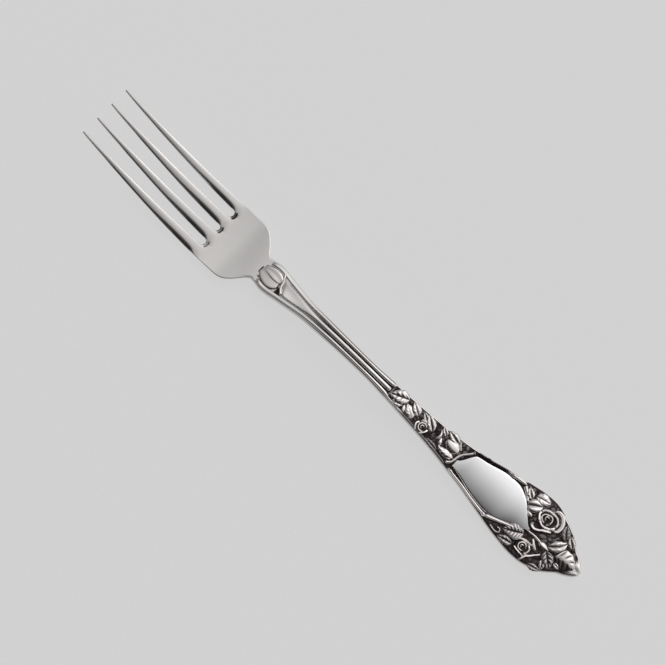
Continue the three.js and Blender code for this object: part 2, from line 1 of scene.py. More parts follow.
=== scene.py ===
# %% [markdown]
# # A silver dessert fork
#
# The fork is a forged silver blank with long curved tines. Its handle carries cast ornament:
# reeds on the stem, a bud at the neck, and roses and leaves round a plain mirror panel.
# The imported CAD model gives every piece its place. This lesson gives each piece the form and
# the finish that the eye sees, as surfaces worked out with numpy.

import bmesh
import bpy
import numpy as np
from mathutils import Matrix, Vector


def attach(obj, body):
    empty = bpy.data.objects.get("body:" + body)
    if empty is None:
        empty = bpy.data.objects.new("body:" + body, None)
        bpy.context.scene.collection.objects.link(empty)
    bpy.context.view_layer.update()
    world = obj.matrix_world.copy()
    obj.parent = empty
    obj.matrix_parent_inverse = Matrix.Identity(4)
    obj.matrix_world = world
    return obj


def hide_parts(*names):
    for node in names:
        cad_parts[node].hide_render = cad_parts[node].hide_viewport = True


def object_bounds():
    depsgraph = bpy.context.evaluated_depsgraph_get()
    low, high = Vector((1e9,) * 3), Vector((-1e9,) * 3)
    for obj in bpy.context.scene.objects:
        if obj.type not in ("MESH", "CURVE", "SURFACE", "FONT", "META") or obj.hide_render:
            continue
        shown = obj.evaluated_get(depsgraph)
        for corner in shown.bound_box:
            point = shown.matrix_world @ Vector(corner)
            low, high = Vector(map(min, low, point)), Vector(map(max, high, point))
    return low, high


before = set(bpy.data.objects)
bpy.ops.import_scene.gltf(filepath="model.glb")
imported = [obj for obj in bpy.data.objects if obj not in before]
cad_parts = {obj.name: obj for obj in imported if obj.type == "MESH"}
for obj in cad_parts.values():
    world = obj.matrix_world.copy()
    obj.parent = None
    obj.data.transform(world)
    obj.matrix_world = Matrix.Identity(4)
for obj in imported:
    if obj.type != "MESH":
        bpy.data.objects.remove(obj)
cad_low, cad_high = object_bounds()
print("nodes:", len(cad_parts), "length in mm:", round((cad_high.x - cad_low.x) * 1000, 2))

# %% [markdown]
# ## The camera
#
# The photograph looks almost straight down with a long lens, and the fork lies on the diagonal.
# A camera can be aimed by hand, but here it is placed by its azimuth, its elevation and its
# distance from a target on the fork, so that it can be matched to the picture by numbers.

# %% Camera
IMAGE_SIZE = 665
SENSOR_MM = 36
CAMERA_AZIMUTH = np.radians(44.34)
CAMERA_ELEVATION = np.radians(79)
CAMERA_DISTANCE = 0.7
CAMERA_TARGET = Vector((-0.00345, 0.0007, 0.004))
PIXELS_PER_METRE = 3753.9

back = Vector((
    np.sin(CAMERA_AZIMUTH) * np.cos(CAMERA_ELEVATION),
    -np.cos(CAMERA_AZIMUTH) * np.cos(CAMERA_ELEVATION),
    np.sin(CAMERA_ELEVATION),
))
right = Vector((np.cos(CAMERA_AZIMUTH), np.sin(CAMERA_AZIMUTH), 0))
camera = bpy.data.objects.new("camera", bpy.data.cameras.new("camera"))
camera.data.sensor_width = SENSOR_MM
camera.data.lens = SENSOR_MM * PIXELS_PER_METRE * CAMERA_DISTANCE / IMAGE_SIZE
camera.matrix_world = Matrix((right, back.cross(right), back)).transposed().to_4x4()
camera.location = CAMERA_TARGET + back * CAMERA_DISTANCE
bpy.context.scene.collection.objects.link(camera)
bpy.context.scene.camera = camera
print("lens in mm:", round(camera.data.lens, 1))

# %% [markdown]
# ## The lines of the fork
#
# A fork is drawn with a few smooth lines: its half width, the height of its back over the table
# and its thickness, each by the distance s from the tine tips. They could be Bezier curves, but
# a cubic line through a few points that never overshoots is easy to compute for whole arrays.
# All lengths here are in millimetres and repeat the design of the CAD model.

# %% Smooth lines through points
MM = 0.001


def smooth_line(points):
    """A line through (position, value) points. Between two points it is the cubic that starts and
    ends with the harmonic mean of the neighbouring slopes, so it never overshoots."""
    x, y = np.array(points, float).T
    step = np.diff(y) / np.diff(x)
    before, after = np.append(0, step), np.append(step, 0)
    same_way = before * after > 0
    slope = np.where(same_way, 2 * before * after / np.where(same_way, before + after, 1), 0)

    def line(s):
        i = np.clip(np.searchsorted(x, s, side="right") - 1, 0, len(x) - 2)
        span = x[i + 1] - x[i]
        t = np.clip((s - x[i]) / span, 0, 1)
        ease = t * t * (3 - 2 * t)
        lean = span * t * (1 - t) * (slope[i] * (1 - t) - slope[i + 1] * t)
        return y[i] + (y[i + 1] - y[i]) * ease + lean

    return line


def smoothstep(low, high, x):
    """0 below low, 1 above high, and the S-curve 3t^2 - 2t^3 between them."""
    t = np.clip((x - low) / (high - low), 0, 1)
    return t * t * (3 - 2 * t)


def window(start, full, fading, end, x):
    """1 from full to fading, easing to 0 at start before them and at end after them."""
    return smoothstep(start, full, x) * smoothstep(end, fading, x)


print("a quarter of the way up an S-curve:", float(smoothstep(0, 1, 0.25)))

# %% [markdown]
# ## Where things are along the fork
#
# A maker marks out a fork by stations from the tine tips: slot ends, neck, collar, stem, panel and
# flowers. Named stations could sit in a table, but as values each can be worked out from the one
# before, so a longer stem would move all that follows.

# %% Stations along the fork, from the tine tips
SLOT_END = 43
NECK = SLOT_END + 15.5
COLLAR_END = NECK + 9.1
STEM_END = COLLAR_END + 39
PANEL_START = STEM_END + 25
PANEL_LENGTH = 26.5
CLUSTER_START = PANEL_START + PANEL_LENGTH
LENGTH = CLUSTER_START + 17.5
FRONT_REST = SLOT_END + 2.5
REST_END = FRONT_REST + 3
ARCH_TOP = STEM_END - 17.5
HANDLE_REST = LENGTH - 24
TINE_PITCH = 5.35
SLOT_ROUND = 1.2
SLOT_TIP = SLOT_END - 0.5
SHOULDER_LENGTH = 9.8
NECK_HALF = 3.95
HEAD_HALF = 9.5
END_ROUND = 4.2
print("overall length:", LENGTH, "mm, in the CAD model:", round((cad_high.x - cad_low.x) / MM, 2))

# %% Widths along the fork
TIP_WIDTH = 0.55
TINE_GROWTH = 2.4
TINE_SWELL = 0.65
SHOULDER_HOLD = 1.7
LEAST_HALF = 0.7
LEFT_SHIFT = 0.45
RIGHT_SHIFT = 0.28
LEFT_SLIM = 0.22
handle_outline = smooth_line([
    (NECK, NECK_HALF), (NECK + 3.7, 4.5), (COLLAR_END, 3.8), (COLLAR_END + 10, 2.65),
    (STEM_END - 8, 2.2), (STEM_END, 2.55), (STEM_END + 16, 3.6), (PANEL_START, 4.7),
    (CLUSTER_START, 9.4), (CLUSTER_START + 9.1, 6.95), (CLUSTER_START + 10.9, 5.65),
    (LENGTH - END_ROUND, 3.8), (LENGTH, 2.736),
])


def tine_width(s):
    """Width of one tine: the tip's width plus a growth by a power of the share of the tine's length."""
    return TIP_WIDTH + TINE_GROWTH * np.minimum(1, s / SLOT_END) ** TINE_SWELL


def slot_half(s):
    """Half the width of a slot: what the tines leave of the pitch, closed by half an ellipse."""
    straight = SLOT_TIP - SLOT_ROUND
    gap = (TINE_PITCH - tine_width(np.minimum(s, straight))) / 2
    t = np.clip((s - straight) / SLOT_ROUND, 0, 1)
    return gap * np.sqrt(1 - t * t)


def half_width(s):
    """Half the fork's width: tines, then shoulders that ease down to the neck, then the handle."""
    tines = 1.5 * TINE_PITCH + tine_width(s) / 2
    t = np.clip((s - NECK + SHOULDER_LENGTH) / SHOULDER_LENGTH, 0, 1)
    shoulders = HEAD_HALF + (NECK_HALF - HEAD_HALF) * smoothstep(0, 1, t ** SHOULDER_HOLD)
    t = np.clip((s - LENGTH + END_ROUND) / END_ROUND, 0, 1)
    handle = np.maximum(LEAST_HALF, handle_outline(s) * np.sqrt(1 - t * t))
    return np.where(s < SLOT_END, tines, np.where(s < NECK, shoulders, handle))


def settle(s, y):
    """Offsets as the eye sees them: the handle end isn't quite even. Toward the roses both edges lie a
    little to the right, the left one more, by the cube of the share of the half width, so that the
    middle stays. Beside the panel the left is also slimmer."""
    half = half_width(s)
    panel = s - PANEL_START
    roses_end = smoothstep(CLUSTER_START + 6, CLUSTER_START, s)
    left_shift = LEFT_SHIFT * smoothstep(4, 16, panel)
    right_shift = RIGHT_SHIFT * smoothstep(18, 24, panel)
    shift = np.where(y < 0, left_shift, right_shift) * roses_end
    slim = LEFT_SLIM * window(1, 6, PANEL_LENGTH - 5, PANEL_LENGTH + 1, panel)
    y = np.where(y < 0, y * (1 - slim / half), y)
    return y + shift * np.clip(np.abs(y) / half, 0, 1) ** 3


print("half widths at neck and roses in mm:",
      [float(half_width(np.array(s)).round(2)) for s in (NECK, CLUSTER_START)])

# %% Heights along the fork
TIP_RISE = 13
arch_line = smooth_line([(REST_END, 0), (NECK, 0.9), (ARCH_TOP, 3.9), (HANDLE_REST, 0)])
thickness = smooth_line([
    (0, 0.9), (SLOT_END, 2.1), (NECK, 2.9), (ARCH_TOP, 3.1), (PANEL_START, 2.4), (LENGTH, 1.9),
])


def back_height(s):
    """Height of the back over the table: the tines sweep up, the root and the handle end rest."""
    tines = TIP_RISE * np.clip(1 - s / FRONT_REST, 0, 1) ** 2
    arch = np.where((s > REST_END) & (s < HANDLE_REST), arch_line(s), 0)
    return tines + arch


def face_height(s):
    """Height of the flat of the face: the back's height plus the thickness."""
    return back_height(s) + thickness(s)


print("face over the table at tips and neck in mm:",
      [float(face_height(np.array(s)).round(2)) for s in (0, NECK)])

# %% [markdown]
# ## Putting arrays into meshes
#
# Most pieces are closed rings of points, one after another: a profile carried along a path, or
# circles that widen from a pole. One function joins the rings with quads, closes both ends with
# a pole, turns the faces outwards and stores a number per point, the patina with painted shade,
# that the silver uses later for its black recesses and its painted light and shade.

# %% From arrays to pieces
def add_piece(name, points, quads, triangles, patina_and_shade):
    """A mesh object from points in mm, with faces turned so that its signed volume is positive."""
    corners = np.concatenate([quads[:, [0, 1, 2]], quads[:, [0, 2, 3]], triangles])
    a, b, c = (points[corners[:, i]] for i in range(3))
    if np.einsum("ij,ij->", a, np.cross(b, c)) < 0:
        quads, triangles = quads[:, ::-1], triangles[:, ::-1]
    mesh = bpy.data.meshes.new(name)
    mesh.vertices.add(len(points))
    mesh.vertices.foreach_set("co", (points * MM).ravel())
    loops = np.concatenate([quads.ravel(), triangles.ravel()])
    mesh.loops.add(len(loops))
    mesh.loops.foreach_set("vertex_index", loops)
    starts = np.concatenate(
        [4 * np.arange(len(quads)), 4 * len(quads) + 3 * np.arange(len(triangles))])
    mesh.polygons.add(len(starts))
    mesh.polygons.foreach_set("loop_start", starts)
    mesh.polygons.foreach_set("use_smooth", np.ones(len(starts), bool))
    mesh.update(calc_edges=True)
    mesh.attributes.new("patina_and_shade", "FLOAT", "POINT").data.foreach_set("value", patina_and_shade)
    piece = bpy.data.objects.new(name, mesh)
    bpy.context.scene.collection.objects.link(piece)
    return piece


def loft(name, rings, patina_and_shade):
    """A closed skin over rings of points: neighbours joined by quads, each end by a fan to a pole."""
    count, around = rings.shape[:2]
    grid = np.arange(count * around).reshape(count, around)
    turned = np.roll(grid, -1, 1)
    quads = np.stack([grid[:-1], turned[:-1], turned[1:], grid[1:]], -1).reshape(-1, 4)
    pole = np.full(around, count * around)
    triangles = np.concatenate([
        np.stack([pole, turned[0], grid[0]], -1),
        np.stack([pole + 1, grid[-1], turned[-1]], -1),
    ])
    points = np.concatenate([rings.reshape(-1, 3), rings[[0, -1]].mean(1)])
    dark = np.concatenate([patina_and_shade.ravel(), patina_and_shade[[0, -1]].mean(1)])
    return add_piece(name, points, quads, triangles, dark)


def on_face(s, y, height):
    """Points at station s, offset y and height over the face, in the frame of the CAD model."""
    x = s + cad_low.x / MM
    return np.stack(np.broadcast_arrays(x, settle(s, y), face_height(s) + height), -1)


print("face at the neck, in mm:", on_face(np.array(NECK), np.array(0), 0).round(2).tolist())

# %% [markdown]
# ## The blank
#
# On the real fork a bar of silver was forged, slotted and filed. A box with bevels would lose
# the sweep of the tines, so the skin is four strips that run from tip to end. Ahead of the slot
# ends each strip is a tine, and behind them the strips lie edge to edge. Face and back meet at
# each free edge in a quarter-round, and points that coincide are merged, so the skin is closed.

# %% Distance to the edges
def slot_offset(y):
    """Distance across the fork to the middle line of the nearest slot."""
    return np.abs(y[..., None] - TINE_PITCH * np.array([-1, 0, 1])).min(-1)


def slot_distance(s, y):
    """Distance in mm from a point of the blank to the nearest slot, whose end is half an ellipse."""
    bend = SLOT_TIP - SLOT_ROUND
    across = slot_offset(y)
    beside = across - slot_half(s)
    ahead = (np.hypot((s - bend) / SLOT_ROUND, across / slot_half(np.array(bend))) - 1) * SLOT_ROUND
    return np.maximum(0, np.where(s < bend, beside, ahead))


def outline_distance(s, y):
    """Distance in mm from a point of the blank to its outline."""
    return np.maximum(0, np.minimum.reduce([s, LENGTH - s, half_width(s) - np.abs(y)]))


def quarter_round(distance, radius):
    """0 at an edge, 1 once the distance passes the radius, and a quarter circle between."""
    t = np.clip(distance / radius, 0, 1)
    return np.sqrt(t * (2 - t))


print("a slot's half width at its bend, in mm:",
      float(slot_half(np.array(SLOT_TIP - SLOT_ROUND)).round(2)))

# %% Height of the face and the back
TINE_ROUND = 1.4
BACK_ROUND = 1.5
FACE_ROUND = 0.35
ROOT_ROUND = 0.03
LEFT_ROUND = 0.35
LEFT_ROOT_ROUND = 0.85
RIGHT_ROUND = 0.15
SLOT_TIP_ROUND = 0.7
TINE_CREST = 0.4
TINE_BEVEL = 0.12
BEVEL_WIDTH = 0.6
EDGE_LEVEL = 0.5
HEAD_EDGE_LEVEL = 0.97
HEAD_DISH = 0.0018
# Keeps a point on the seam of two strips from falling to either tine by its rounding
SEAM_NUDGE = 1e-6
tine_crown = smooth_line([(0, 0.34), (14, 0.26), (25, 0.2), (32, 0.17), (42, 0.08)])


def blank_height(s, y, side):
    """Height of the face (side 1) or the back (side -1). On the face the quarter-round is narrow,
    but on the left edge of each tine it is wide ahead of the slot end, and so is the slot end
    itself. The tines also have a crown, a parabola across that is fullest at the tips, with a faint
    bevel along its right, and the head a slight dish. The edge line is at half the thickness, and
    near the face on the head. The back is rounder."""
    behind = smoothstep(SLOT_END - 1.5, SLOT_END + 1.5, s)
    toward_handle = smoothstep(SLOT_END, NECK, s)
    slot_edge = outer_edge = TINE_ROUND + (BACK_ROUND - TINE_ROUND) * toward_handle
    head = window(SLOT_END - 4, SLOT_END, NECK - 2, NECK + 1, s)
    crown = 0
    if side > 0:
        middle = np.clip(np.round(y / TINE_PITCH + 1.5 - SEAM_NUDGE), 0, 3) - 1.5
        on_left = y < middle * TINE_PITCH
        wide = np.where(on_left, LEFT_ROOT_ROUND, 0) * window(22, 38, SLOT_END - 3, SLOT_END, s)
        slot_edge = np.where(on_left, LEFT_ROUND, RIGHT_ROUND) + wide
        outer_edge = slot_edge + (ROOT_ROUND - slot_edge) * behind
        outer_edge = outer_edge + (FACE_ROUND - ROOT_ROUND) * toward_handle
        slot_edge = slot_edge + SLOT_TIP_ROUND * smoothstep(SLOT_TIP - 0.6, SLOT_TIP + 0.4, s)
        off = y - middle * TINE_PITCH
        to_right_edge = tine_width(s) / 2 - off
        bevel = TINE_BEVEL * np.maximum(0, BEVEL_WIDTH - to_right_edge) * smoothstep(40, 16, s)
        crown = (tine_crown(s) * (off - TINE_CREST) ** 2 / 2 + bevel) * (1 - behind)
        dished = window(SLOT_END - 2, SLOT_END + 3, NECK - 6, NECK - 1, s)
        crown = crown - HEAD_DISH * y ** 2 * dished
    fullness = np.minimum(
        quarter_round(outline_distance(s, y), outer_edge),
        quarter_round(slot_distance(s, y), slot_edge))
    level = EDGE_LEVEL + (HEAD_EDGE_LEVEL - EDGE_LEVEL) * head
    share = level + side * fullness * (1 - level if side > 0 else level)
    return back_height(s) + thickness(s) * share - crown * fullness


def strip_edges(s, strip):
    """Left and right edge lines of one of the four strips."""
    centre = (strip - 1.5) * TINE_PITCH
    toward_slot = TINE_PITCH / 2 - slot_half(s)
    outer = tine_width(s) / 2
    left = centre - (outer if strip == 0 else toward_slot)
    right_edge = centre + (outer if strip == 3 else toward_slot)
    lines = np.array([-1, -TINE_PITCH / HEAD_HALF, 0, TINE_PITCH / HEAD_HALF, 1])
    behind = half_width(s)
    tines = s < SLOT_END
    left = np.where(tines, left, lines[strip] * behind)
    return left, np.where(tines, right_edge, lines[strip + 1] * behind)


print("back and face at the slot ends in mm:",
      [float(blank_height(np.array(SLOT_END), np.array(2.6), side).round(2)) for side in (-1, 1)])

# %% [markdown]
# ## The ground between the flowers
#
# Between the roses the real ground is not flat: small worn leaves fill it, too soft to tell apart.
# Hundreds of leaf meshes would be wasted on it. Here jittered ellipses on a grid, the cells of a
# honeycomb gone wild, raise low cushions with black gaps between them.

# %% Foliage struck into the ground
LOBE = 1.4
LOBE_GRID = (160, 40)
LOBE_LONG = 0.6
LOBE_SHORT = 1.6
LOBE_RISE = 0.16
PANEL_EDGES = np.array([
    (0.01, -0.62, -0.17), (0.135, -0.68, 0.71), (0.28, -0.78, 0.775), (0.45, -0.8, 0.85),
    (0.6, -0.72, 0.79), (0.78, -0.45, 0.49), (0.89, -0.26, 0.18), (1, -0.14, -0.05),
])
panel_left = smooth_line(PANEL_EDGES[:, [0, 1]])
panel_right = smooth_line(PANEL_EDGES[:, [0, 2]])
chance = np.random.default_rng(7).random((*LOBE_GRID, 4))


def lobes(s, y):
    """Small leaf lobes: ellipses at jittered places on a grid, each turned its own way. Returns the
    distance to the nearest lobe's middle, and how much farther the second nearest is."""
    column, row = np.floor(s / LOBE).astype(int), np.floor(y / LOBE).astype(int)
    found = []
    for i in (-1, 0, 1):
        for j in (-1, 0, 1):
            jitter = chance[(column + i) % LOBE_GRID[0], (row + j) % LOBE_GRID[1]]
            ds = s - (column + i + jitter[..., 0]) * LOBE
            dy = y - (row + j + jitter[..., 1]) * LOBE
            turn = np.pi * jitter[..., 2]
            long = ds * np.cos(turn) + dy * np.sin(turn)
            short = dy * np.cos(turn) - ds * np.sin(turn)
            found.append(np.hypot(long * LOBE_LONG, short * LOBE_SHORT))
    nearest = np.sort(np.array(found), 0)
    return nearest[0], nearest[1] - nearest[0]


def foliage_share(s, y):
    """1 where the ground carries foliage: under the spray and round the roses, clear of the panel,
    of the twigs that frame it and of the outer rim."""
    along = np.clip((s - PANEL_START) / PANEL_LENGTH, 0, 1)
    half = half_width(s)
    beside = np.maximum(panel_left(along) * half - y, y - panel_right(along) * half)
    at_panel = (s > PANEL_START - 1) & (s < CLUSTER_START + 0.5)
    clear = np.where(at_panel, smoothstep(0.5, 1.2, beside), 1)
    spray = window(STEM_END + 0.5, STEM_END + 1.5, PANEL_START + 0.5, PANEL_START + 1.5, s)
    cluster = smoothstep(CLUSTER_START - 11, CLUSTER_START - 9, s)
    return np.maximum(spray, cluster) * clear * smoothstep(0.4, 0.8, outline_distance(s, y))


print("lobe size in mm:", LOBE, "foliage at the large rose:",
      float(foliage_share(np.array(CLUSTER_START), np.array(4.0)).round(2)))

# %% [markdown]
# ## The skin
#
# The forged blank is one piece of silver from tip to end. A remeshed union of solids would lose its
# even flow of faces, so the four strips get rows of points at the same stations, closer together
# where the shape turns fast: at the tips, round the slot ends and under the flowers.

# %% Stations of the skin
quarter = np.sin(np.linspace(0, np.pi / 2, 14))
blank_stations = np.concatenate([
    0.6 * np.linspace(0, 1, 8)[:-1] ** 2,
    np.linspace(0.6, SLOT_TIP - SLOT_ROUND, 90)[:-1],
    SLOT_TIP - SLOT_ROUND + SLOT_ROUND * quarter,
    SLOT_TIP + 1.5 * np.linspace(0, 1, 12)[1:-1] ** 1.5,
    np.linspace(SLOT_TIP + 1.5, NECK, 40)[:-1],
    np.linspace(NECK, STEM_END, 60)[:-1],
    np.linspace(STEM_END, LENGTH - END_ROUND, 340)[:-1],
    LENGTH - END_ROUND + END_ROUND * quarter,
])
print("stations of the skin:", blank_stations.size)


# %% Relief and patina of the face
def face_relief(s, y):
    """Height and patina of the face's ground: bare on the head apart from a painted shade along the left
    shoulder, the side away from the light, dark in a ring round the bud and in the stem's grooves,
    black between the lobes of foliage, with painted light on the ground toward the end, most on the
    right, and polished again along the outer rim, apart from the right edge beside the large rose."""
    near, gap = lobes(s, y)
    share = foliage_share(s, y)
    from_edge = outline_distance(s, y)
    height = share * LOBE_RISE * np.clip(1 - (near / LOBE) ** 2, 0, 1)
    stem = window(COLLAR_END + 4, COLLAR_END + 12, STEM_END - 1, STEM_END + 1, s)
    worn_edge = window(
        CLUSTER_START - 9.5, CLUSTER_START - 7.5, CLUSTER_START + 3, CLUSTER_START + 5, s)
    rim = 0.3 - 0.22 * stem - 0.6 * worn_edge * (y > 0)
    inside = smoothstep(rim, rim + 0.25, from_edge)
    collar = 0.12 * smoothstep(NECK + 0.9, NECK + 1.6, s)
    bud_ring = np.hypot((s - NECK - 3.25) / 3.2, (y + 0.25) / 2.75)
    collar = np.maximum(collar, np.exp(-((bud_ring - 1.03) / 0.08) ** 2))
    grooves = 0.5 * smoothstep(COLLAR_END - 1, COLLAR_END, s)
    grooves = grooves + 0.45 * smoothstep(COLLAR_END + 6, COLLAR_END + 20, s)
    corner = window(NECK + 6.3, NECK + 7, NECK + 8.5, NECK + 9.5, s) * smoothstep(-0.3, -1, y)
    bare = (0.15 + 0.11 * smoothstep(-1.5, 0.5, y)) * share * smoothstep(0.1, 0.5, gap)
    carved = smoothstep(STEM_END - 1, STEM_END + 1, s) * (1 - bare)
    # Painted light: the ground toward the handle's end is less blackened, most on the right, the side
    # toward the light
    end_painted_light = smoothstep(LENGTH - 3.4, LENGTH - 1.8, s) * (0.35 + 0.4 * smoothstep(-1.2, 0.6, y))
    carved = carved * (1 - end_painted_light)
    # Painted shade: a dark line along the left shoulder's edge, the side away from the light
    left_shoulder_shade = 0.6 * window(NECK - 4.5, NECK - 2, NECK, NECK + 1, s) * (y < 0)
    left_shoulder_shade = left_shoulder_shade * smoothstep(0.95, 0.6, from_edge)
    dark = np.where(s > STEM_END, carved, np.maximum.reduce([collar, grooves, corner, left_shoulder_shade]))
    return height, inside * dark


print("patina beside the large rose:",
      float(face_relief(np.array(CLUSTER_START), np.array(8.6))[1].round(2)))

# %% Painted shade on the tines
# Painted shade on the left of each tine: one value for each tine, from the left
FRONT_PAINTED_SHADE = (0.75, 0.7, 0.7, 0.45)
LEFT_FULLER = (0.35, 0.35, 0.35, 0.12)


def tine_painted_shade(s, y, from_left, strip):
    """Painted shade: darker on the left of each tine, the side away from the light, more near its
    root, and in an arc of two dark lines round each slot end, most on the right."""
    root = 0.8 * smoothstep(0.95, 0.5, from_left) * smoothstep(26, 35, s)
    front = FRONT_PAINTED_SHADE[strip] * smoothstep(0.7, 0.3, from_left) * smoothstep(5, 12, s)
    left_side_shade = np.maximum(root, front) * smoothstep(SLOT_END - 0.8, SLOT_END - 2.4, s)
    # Painted shade: two dark arcs round each slot end
    ahead = slot_distance(s, y)
    ring = 0.5 + 0.4 * np.exp(-(ahead / 0.2) ** 2) + 0.4 * np.exp(-((ahead - 0.75) / 0.18) ** 2)
    ring = ring * smoothstep(1.25, 1, ahead) * smoothstep(SLOT_TIP - 0.6, SLOT_TIP, s)
    ring = ring * smoothstep(1.7, 0.7, slot_offset(y)) * (1.17 + 0.045 * y)
    return left_side_shade + ring


def tine_fuller(s, strip):
    """How far the left side of a tine is drawn out, as it looks when the light comes from the right.
    Beside a slot it closes with the slot's end."""
    fuller = LEFT_FULLER[strip] * window(8, 34, NECK - 8, NECK, s)
    if strip > 0:
        fuller = fuller * slot_half(s) / slot_half(np.minimum(s, SLOT_TIP - SLOT_ROUND))
    return fuller


print("tines drawn out at mid length, in mm:",
      [float(tine_fuller(np.array(SLOT_END / 2), strip).round(2)) for strip in range(4)])

# %% Skin of the blank
ACROSS_STRIP = 21
WELD_DISTANCE = 2e-6
FLAT_DISTANCE = 1e-7


def blank_skin():
    """Points, quads, and patina with the tines' painted shade, of both sides of the four strips, one
    grid after another. Face and back share their rows, so they meet point by point at the edges and
    ends."""
    points, dark, quads = [], [], []
    across = (1 - np.cos(np.linspace(0, np.pi, ACROSS_STRIP))) / 2
    s = np.broadcast_to(blank_stations[:, None], (len(blank_stations), across.size))
    for side in (1, -1):
        for strip in range(4):
            left, right_edge = strip_edges(s, strip)
            from_left = (right_edge - left) * across
            y = left + from_left
            height, patina_and_shade = face_relief(s, y)
            z = blank_height(s, y, side) + height * (side > 0)
            # The tines' painted shade is added to the patina
            patina_and_shade = np.clip(patina_and_shade + tine_painted_shade(s, y, from_left, strip), 0, 1)
            y = y - tine_fuller(s, strip) * (1 - across)
            grid = sum(map(len, points)) + np.arange(s.size).reshape(s.shape)
            square = [grid[:-1, :-1], grid[1:, :-1], grid[1:, 1:], grid[:-1, 1:]]
            quads.append(np.stack(square[::side], -1).reshape(-1, 4))
            points.append(np.stack([s + cad_low.x / MM, settle(s, y), z], -1).reshape(-1, 3))
            dark.append((patina_and_shade * (side > 0)).ravel())
    return np.concatenate(points), np.concatenate(quads), np.concatenate(dark)


skin_points, skin_quads, skin_patina_and_shade = blank_skin()
fork_body = add_piece("fork_body", skin_points, skin_quads, np.zeros((0, 3), int), skin_patina_and_shade)
welded = bmesh.new()
welded.from_mesh(fork_body.data)
bmesh.ops.remove_doubles(welded, verts=welded.verts, dist=WELD_DISTANCE)
bmesh.ops.dissolve_degenerate(welded, edges=welded.edges, dist=FLAT_DISTANCE)
print("open edges of the blank:", sum(edge.is_boundary for edge in welded.edges))
welded.to_mesh(fork_body.data)
welded.free()
made = {"fork_blank": fork_body}
print("triangles of the blank:", sum(len(p.vertices) - 2 for p in fork_body.data.polygons))

# %% [markdown]
# ## The reeds of the stem
#
# Three round reeds run down the stem. The middle one opens to a flat spear under the bud, and the
# side ones skirt the bud and thin to a rim beside the flowers. Each is a half-round profile
# carried along the stem, between an inner and an outer line.

# %% Reed surface
FACE_INSET = 0.4
REED_GROOVE = 0.25
RIM_WIDTH = 0.55
COLLAR_REED = 1.1
END_SLANT = 0.64
SINK = 0.15
centre_reed_half = smooth_line(
    [(COLLAR_END - 0.6, 1.8), (COLLAR_END + 6, 1.2), (COLLAR_END + 13, 0.65), (STEM_END, 0.65)])
section_angle = np.linspace(0, np.pi, 25)


def reed_rings(s, inner, outer, rise, round_power=0.8, lean=0, dish=0):
    """Rings of a reed from the outer to the inner line, standing on a sunk base. The height is the
    sine of the section angle to a power: 0.8 gives a full half-round, and a small power a flat top.
    Toward the neck the reed leans to the right by its lean, and a dished reed is hollow across its
    top, with its end cut on the slant. The patina lies along both sides and over the rim beside the
    flowers, with a light painted shade over the reeds along the middle of the stem that dims their
    reflections."""
    across = (1 - np.cos(section_angle)) / 2
    y = outer[:, None] + (inner - outer)[:, None] * across
    z = rise[:, None] * np.sin(section_angle) ** np.reshape(round_power, (-1, 1))
    near_neck = smoothstep(COLLAR_END + 13, COLLAR_END + 6, s)[:, None]
    off_middle = y - (inner + outer)[:, None] / 2
    z = z + near_neck * (dish * off_middle ** 2 - lean * off_middle) * np.sin(section_angle) ** 0.2
    y = np.concatenate([y, inner[:, None], outer[:, None]], 1)
    z = np.concatenate([z, np.full((len(s), 2), -SINK)], 1)
    dark = np.concatenate([1 - smoothstep(0.15, 0.7, np.sin(section_angle)), [1, 1]])
    dark = dark * (0.45 + 0.55 * smoothstep(COLLAR_END + 6, COLLAR_END + 20, s)[:, None])
    # Painted shade: a light even darkening over the reeds along the middle of the stem, which dims their
    # reflections
    added_darkness = 0.42 * window(COLLAR_END + 5, COLLAR_END + 14, STEM_END - 10, STEM_END - 3, s)
    dark = np.maximum(dark, (added_darkness + 0.7 * smoothstep(STEM_END + 3, STEM_END + 7, s))[:, None])
    slant = END_SLANT * smoothstep(COLLAR_END + 5, COLLAR_END - 1, s)[:, None] * (dish > 0)
    return on_face(s[:, None] - slant * (y + 1.8), y, z), dark


def pinch(s, reach):
    """Rises from 0 to 1 within a reach of both ends, as a quarter-round, to close a reed's ends."""
    t = np.clip(np.minimum(s - s[0], s[-1] - s) / reach, 0.02, 1)
    return np.sqrt(t * (2 - t))


print("points across a reed:", section_angle.size + 2)


# %% The three reeds
def centre_reed():
    """The middle reed: from a wide flat spear it narrows and rounds to the plain reed."""
    s = np.linspace(COLLAR_END - 0.2, STEM_END, 160)
    half = centre_reed_half(s) * pinch(s, 0.6)
    narrow = smoothstep(COLLAR_END + 2, COLLAR_END + 11, s)
    rise = 0.35 + 0.4 * narrow
    return reed_rings(s, -half, half, rise * pinch(s, 1.2), 0.15 + 0.45 * narrow, lean=0.065, dish=0.055)


def side_reed(side, end):
    """A side reed: a rail round the bud, then the rest of the stem's width, then a narrow rim."""
    s = np.linspace(NECK + 1.2, end, 220)
    outer = half_width(s) - FACE_INSET
    skirt = outer - COLLAR_REED
    beside = np.maximum(centre_reed_half(s) + REED_GROOVE, skirt)
    rim = smoothstep(STEM_END - 1, STEM_END + 1.5, s)
    inner = np.where(s < COLLAR_END, skirt, beside) * (1 - rim) + (outer - RIM_WIDTH) * rim
    narrow = smoothstep(COLLAR_END + 2, COLLAR_END + 14, s)
    rise = 0.5 + 0.25 * narrow - 0.25 * rim
    return reed_rings(s, side * inner, side * outer, rise * pinch(s, 1.5), 0.35 + 0.3 * narrow,
                      lean=0.2 if side > 0 else 0.06)


made["centre_reed"] = loft("centre_reed_rib", *centre_reed())
made["right_reed"] = loft("right_reed_rail", *side_reed(1, STEM_END + 0.4))
made["left_reed"] = loft("left_reed_rail", *side_reed(-1, PANEL_START - 1.6))
print("reeds:", [name for name in made if "reed" in name])

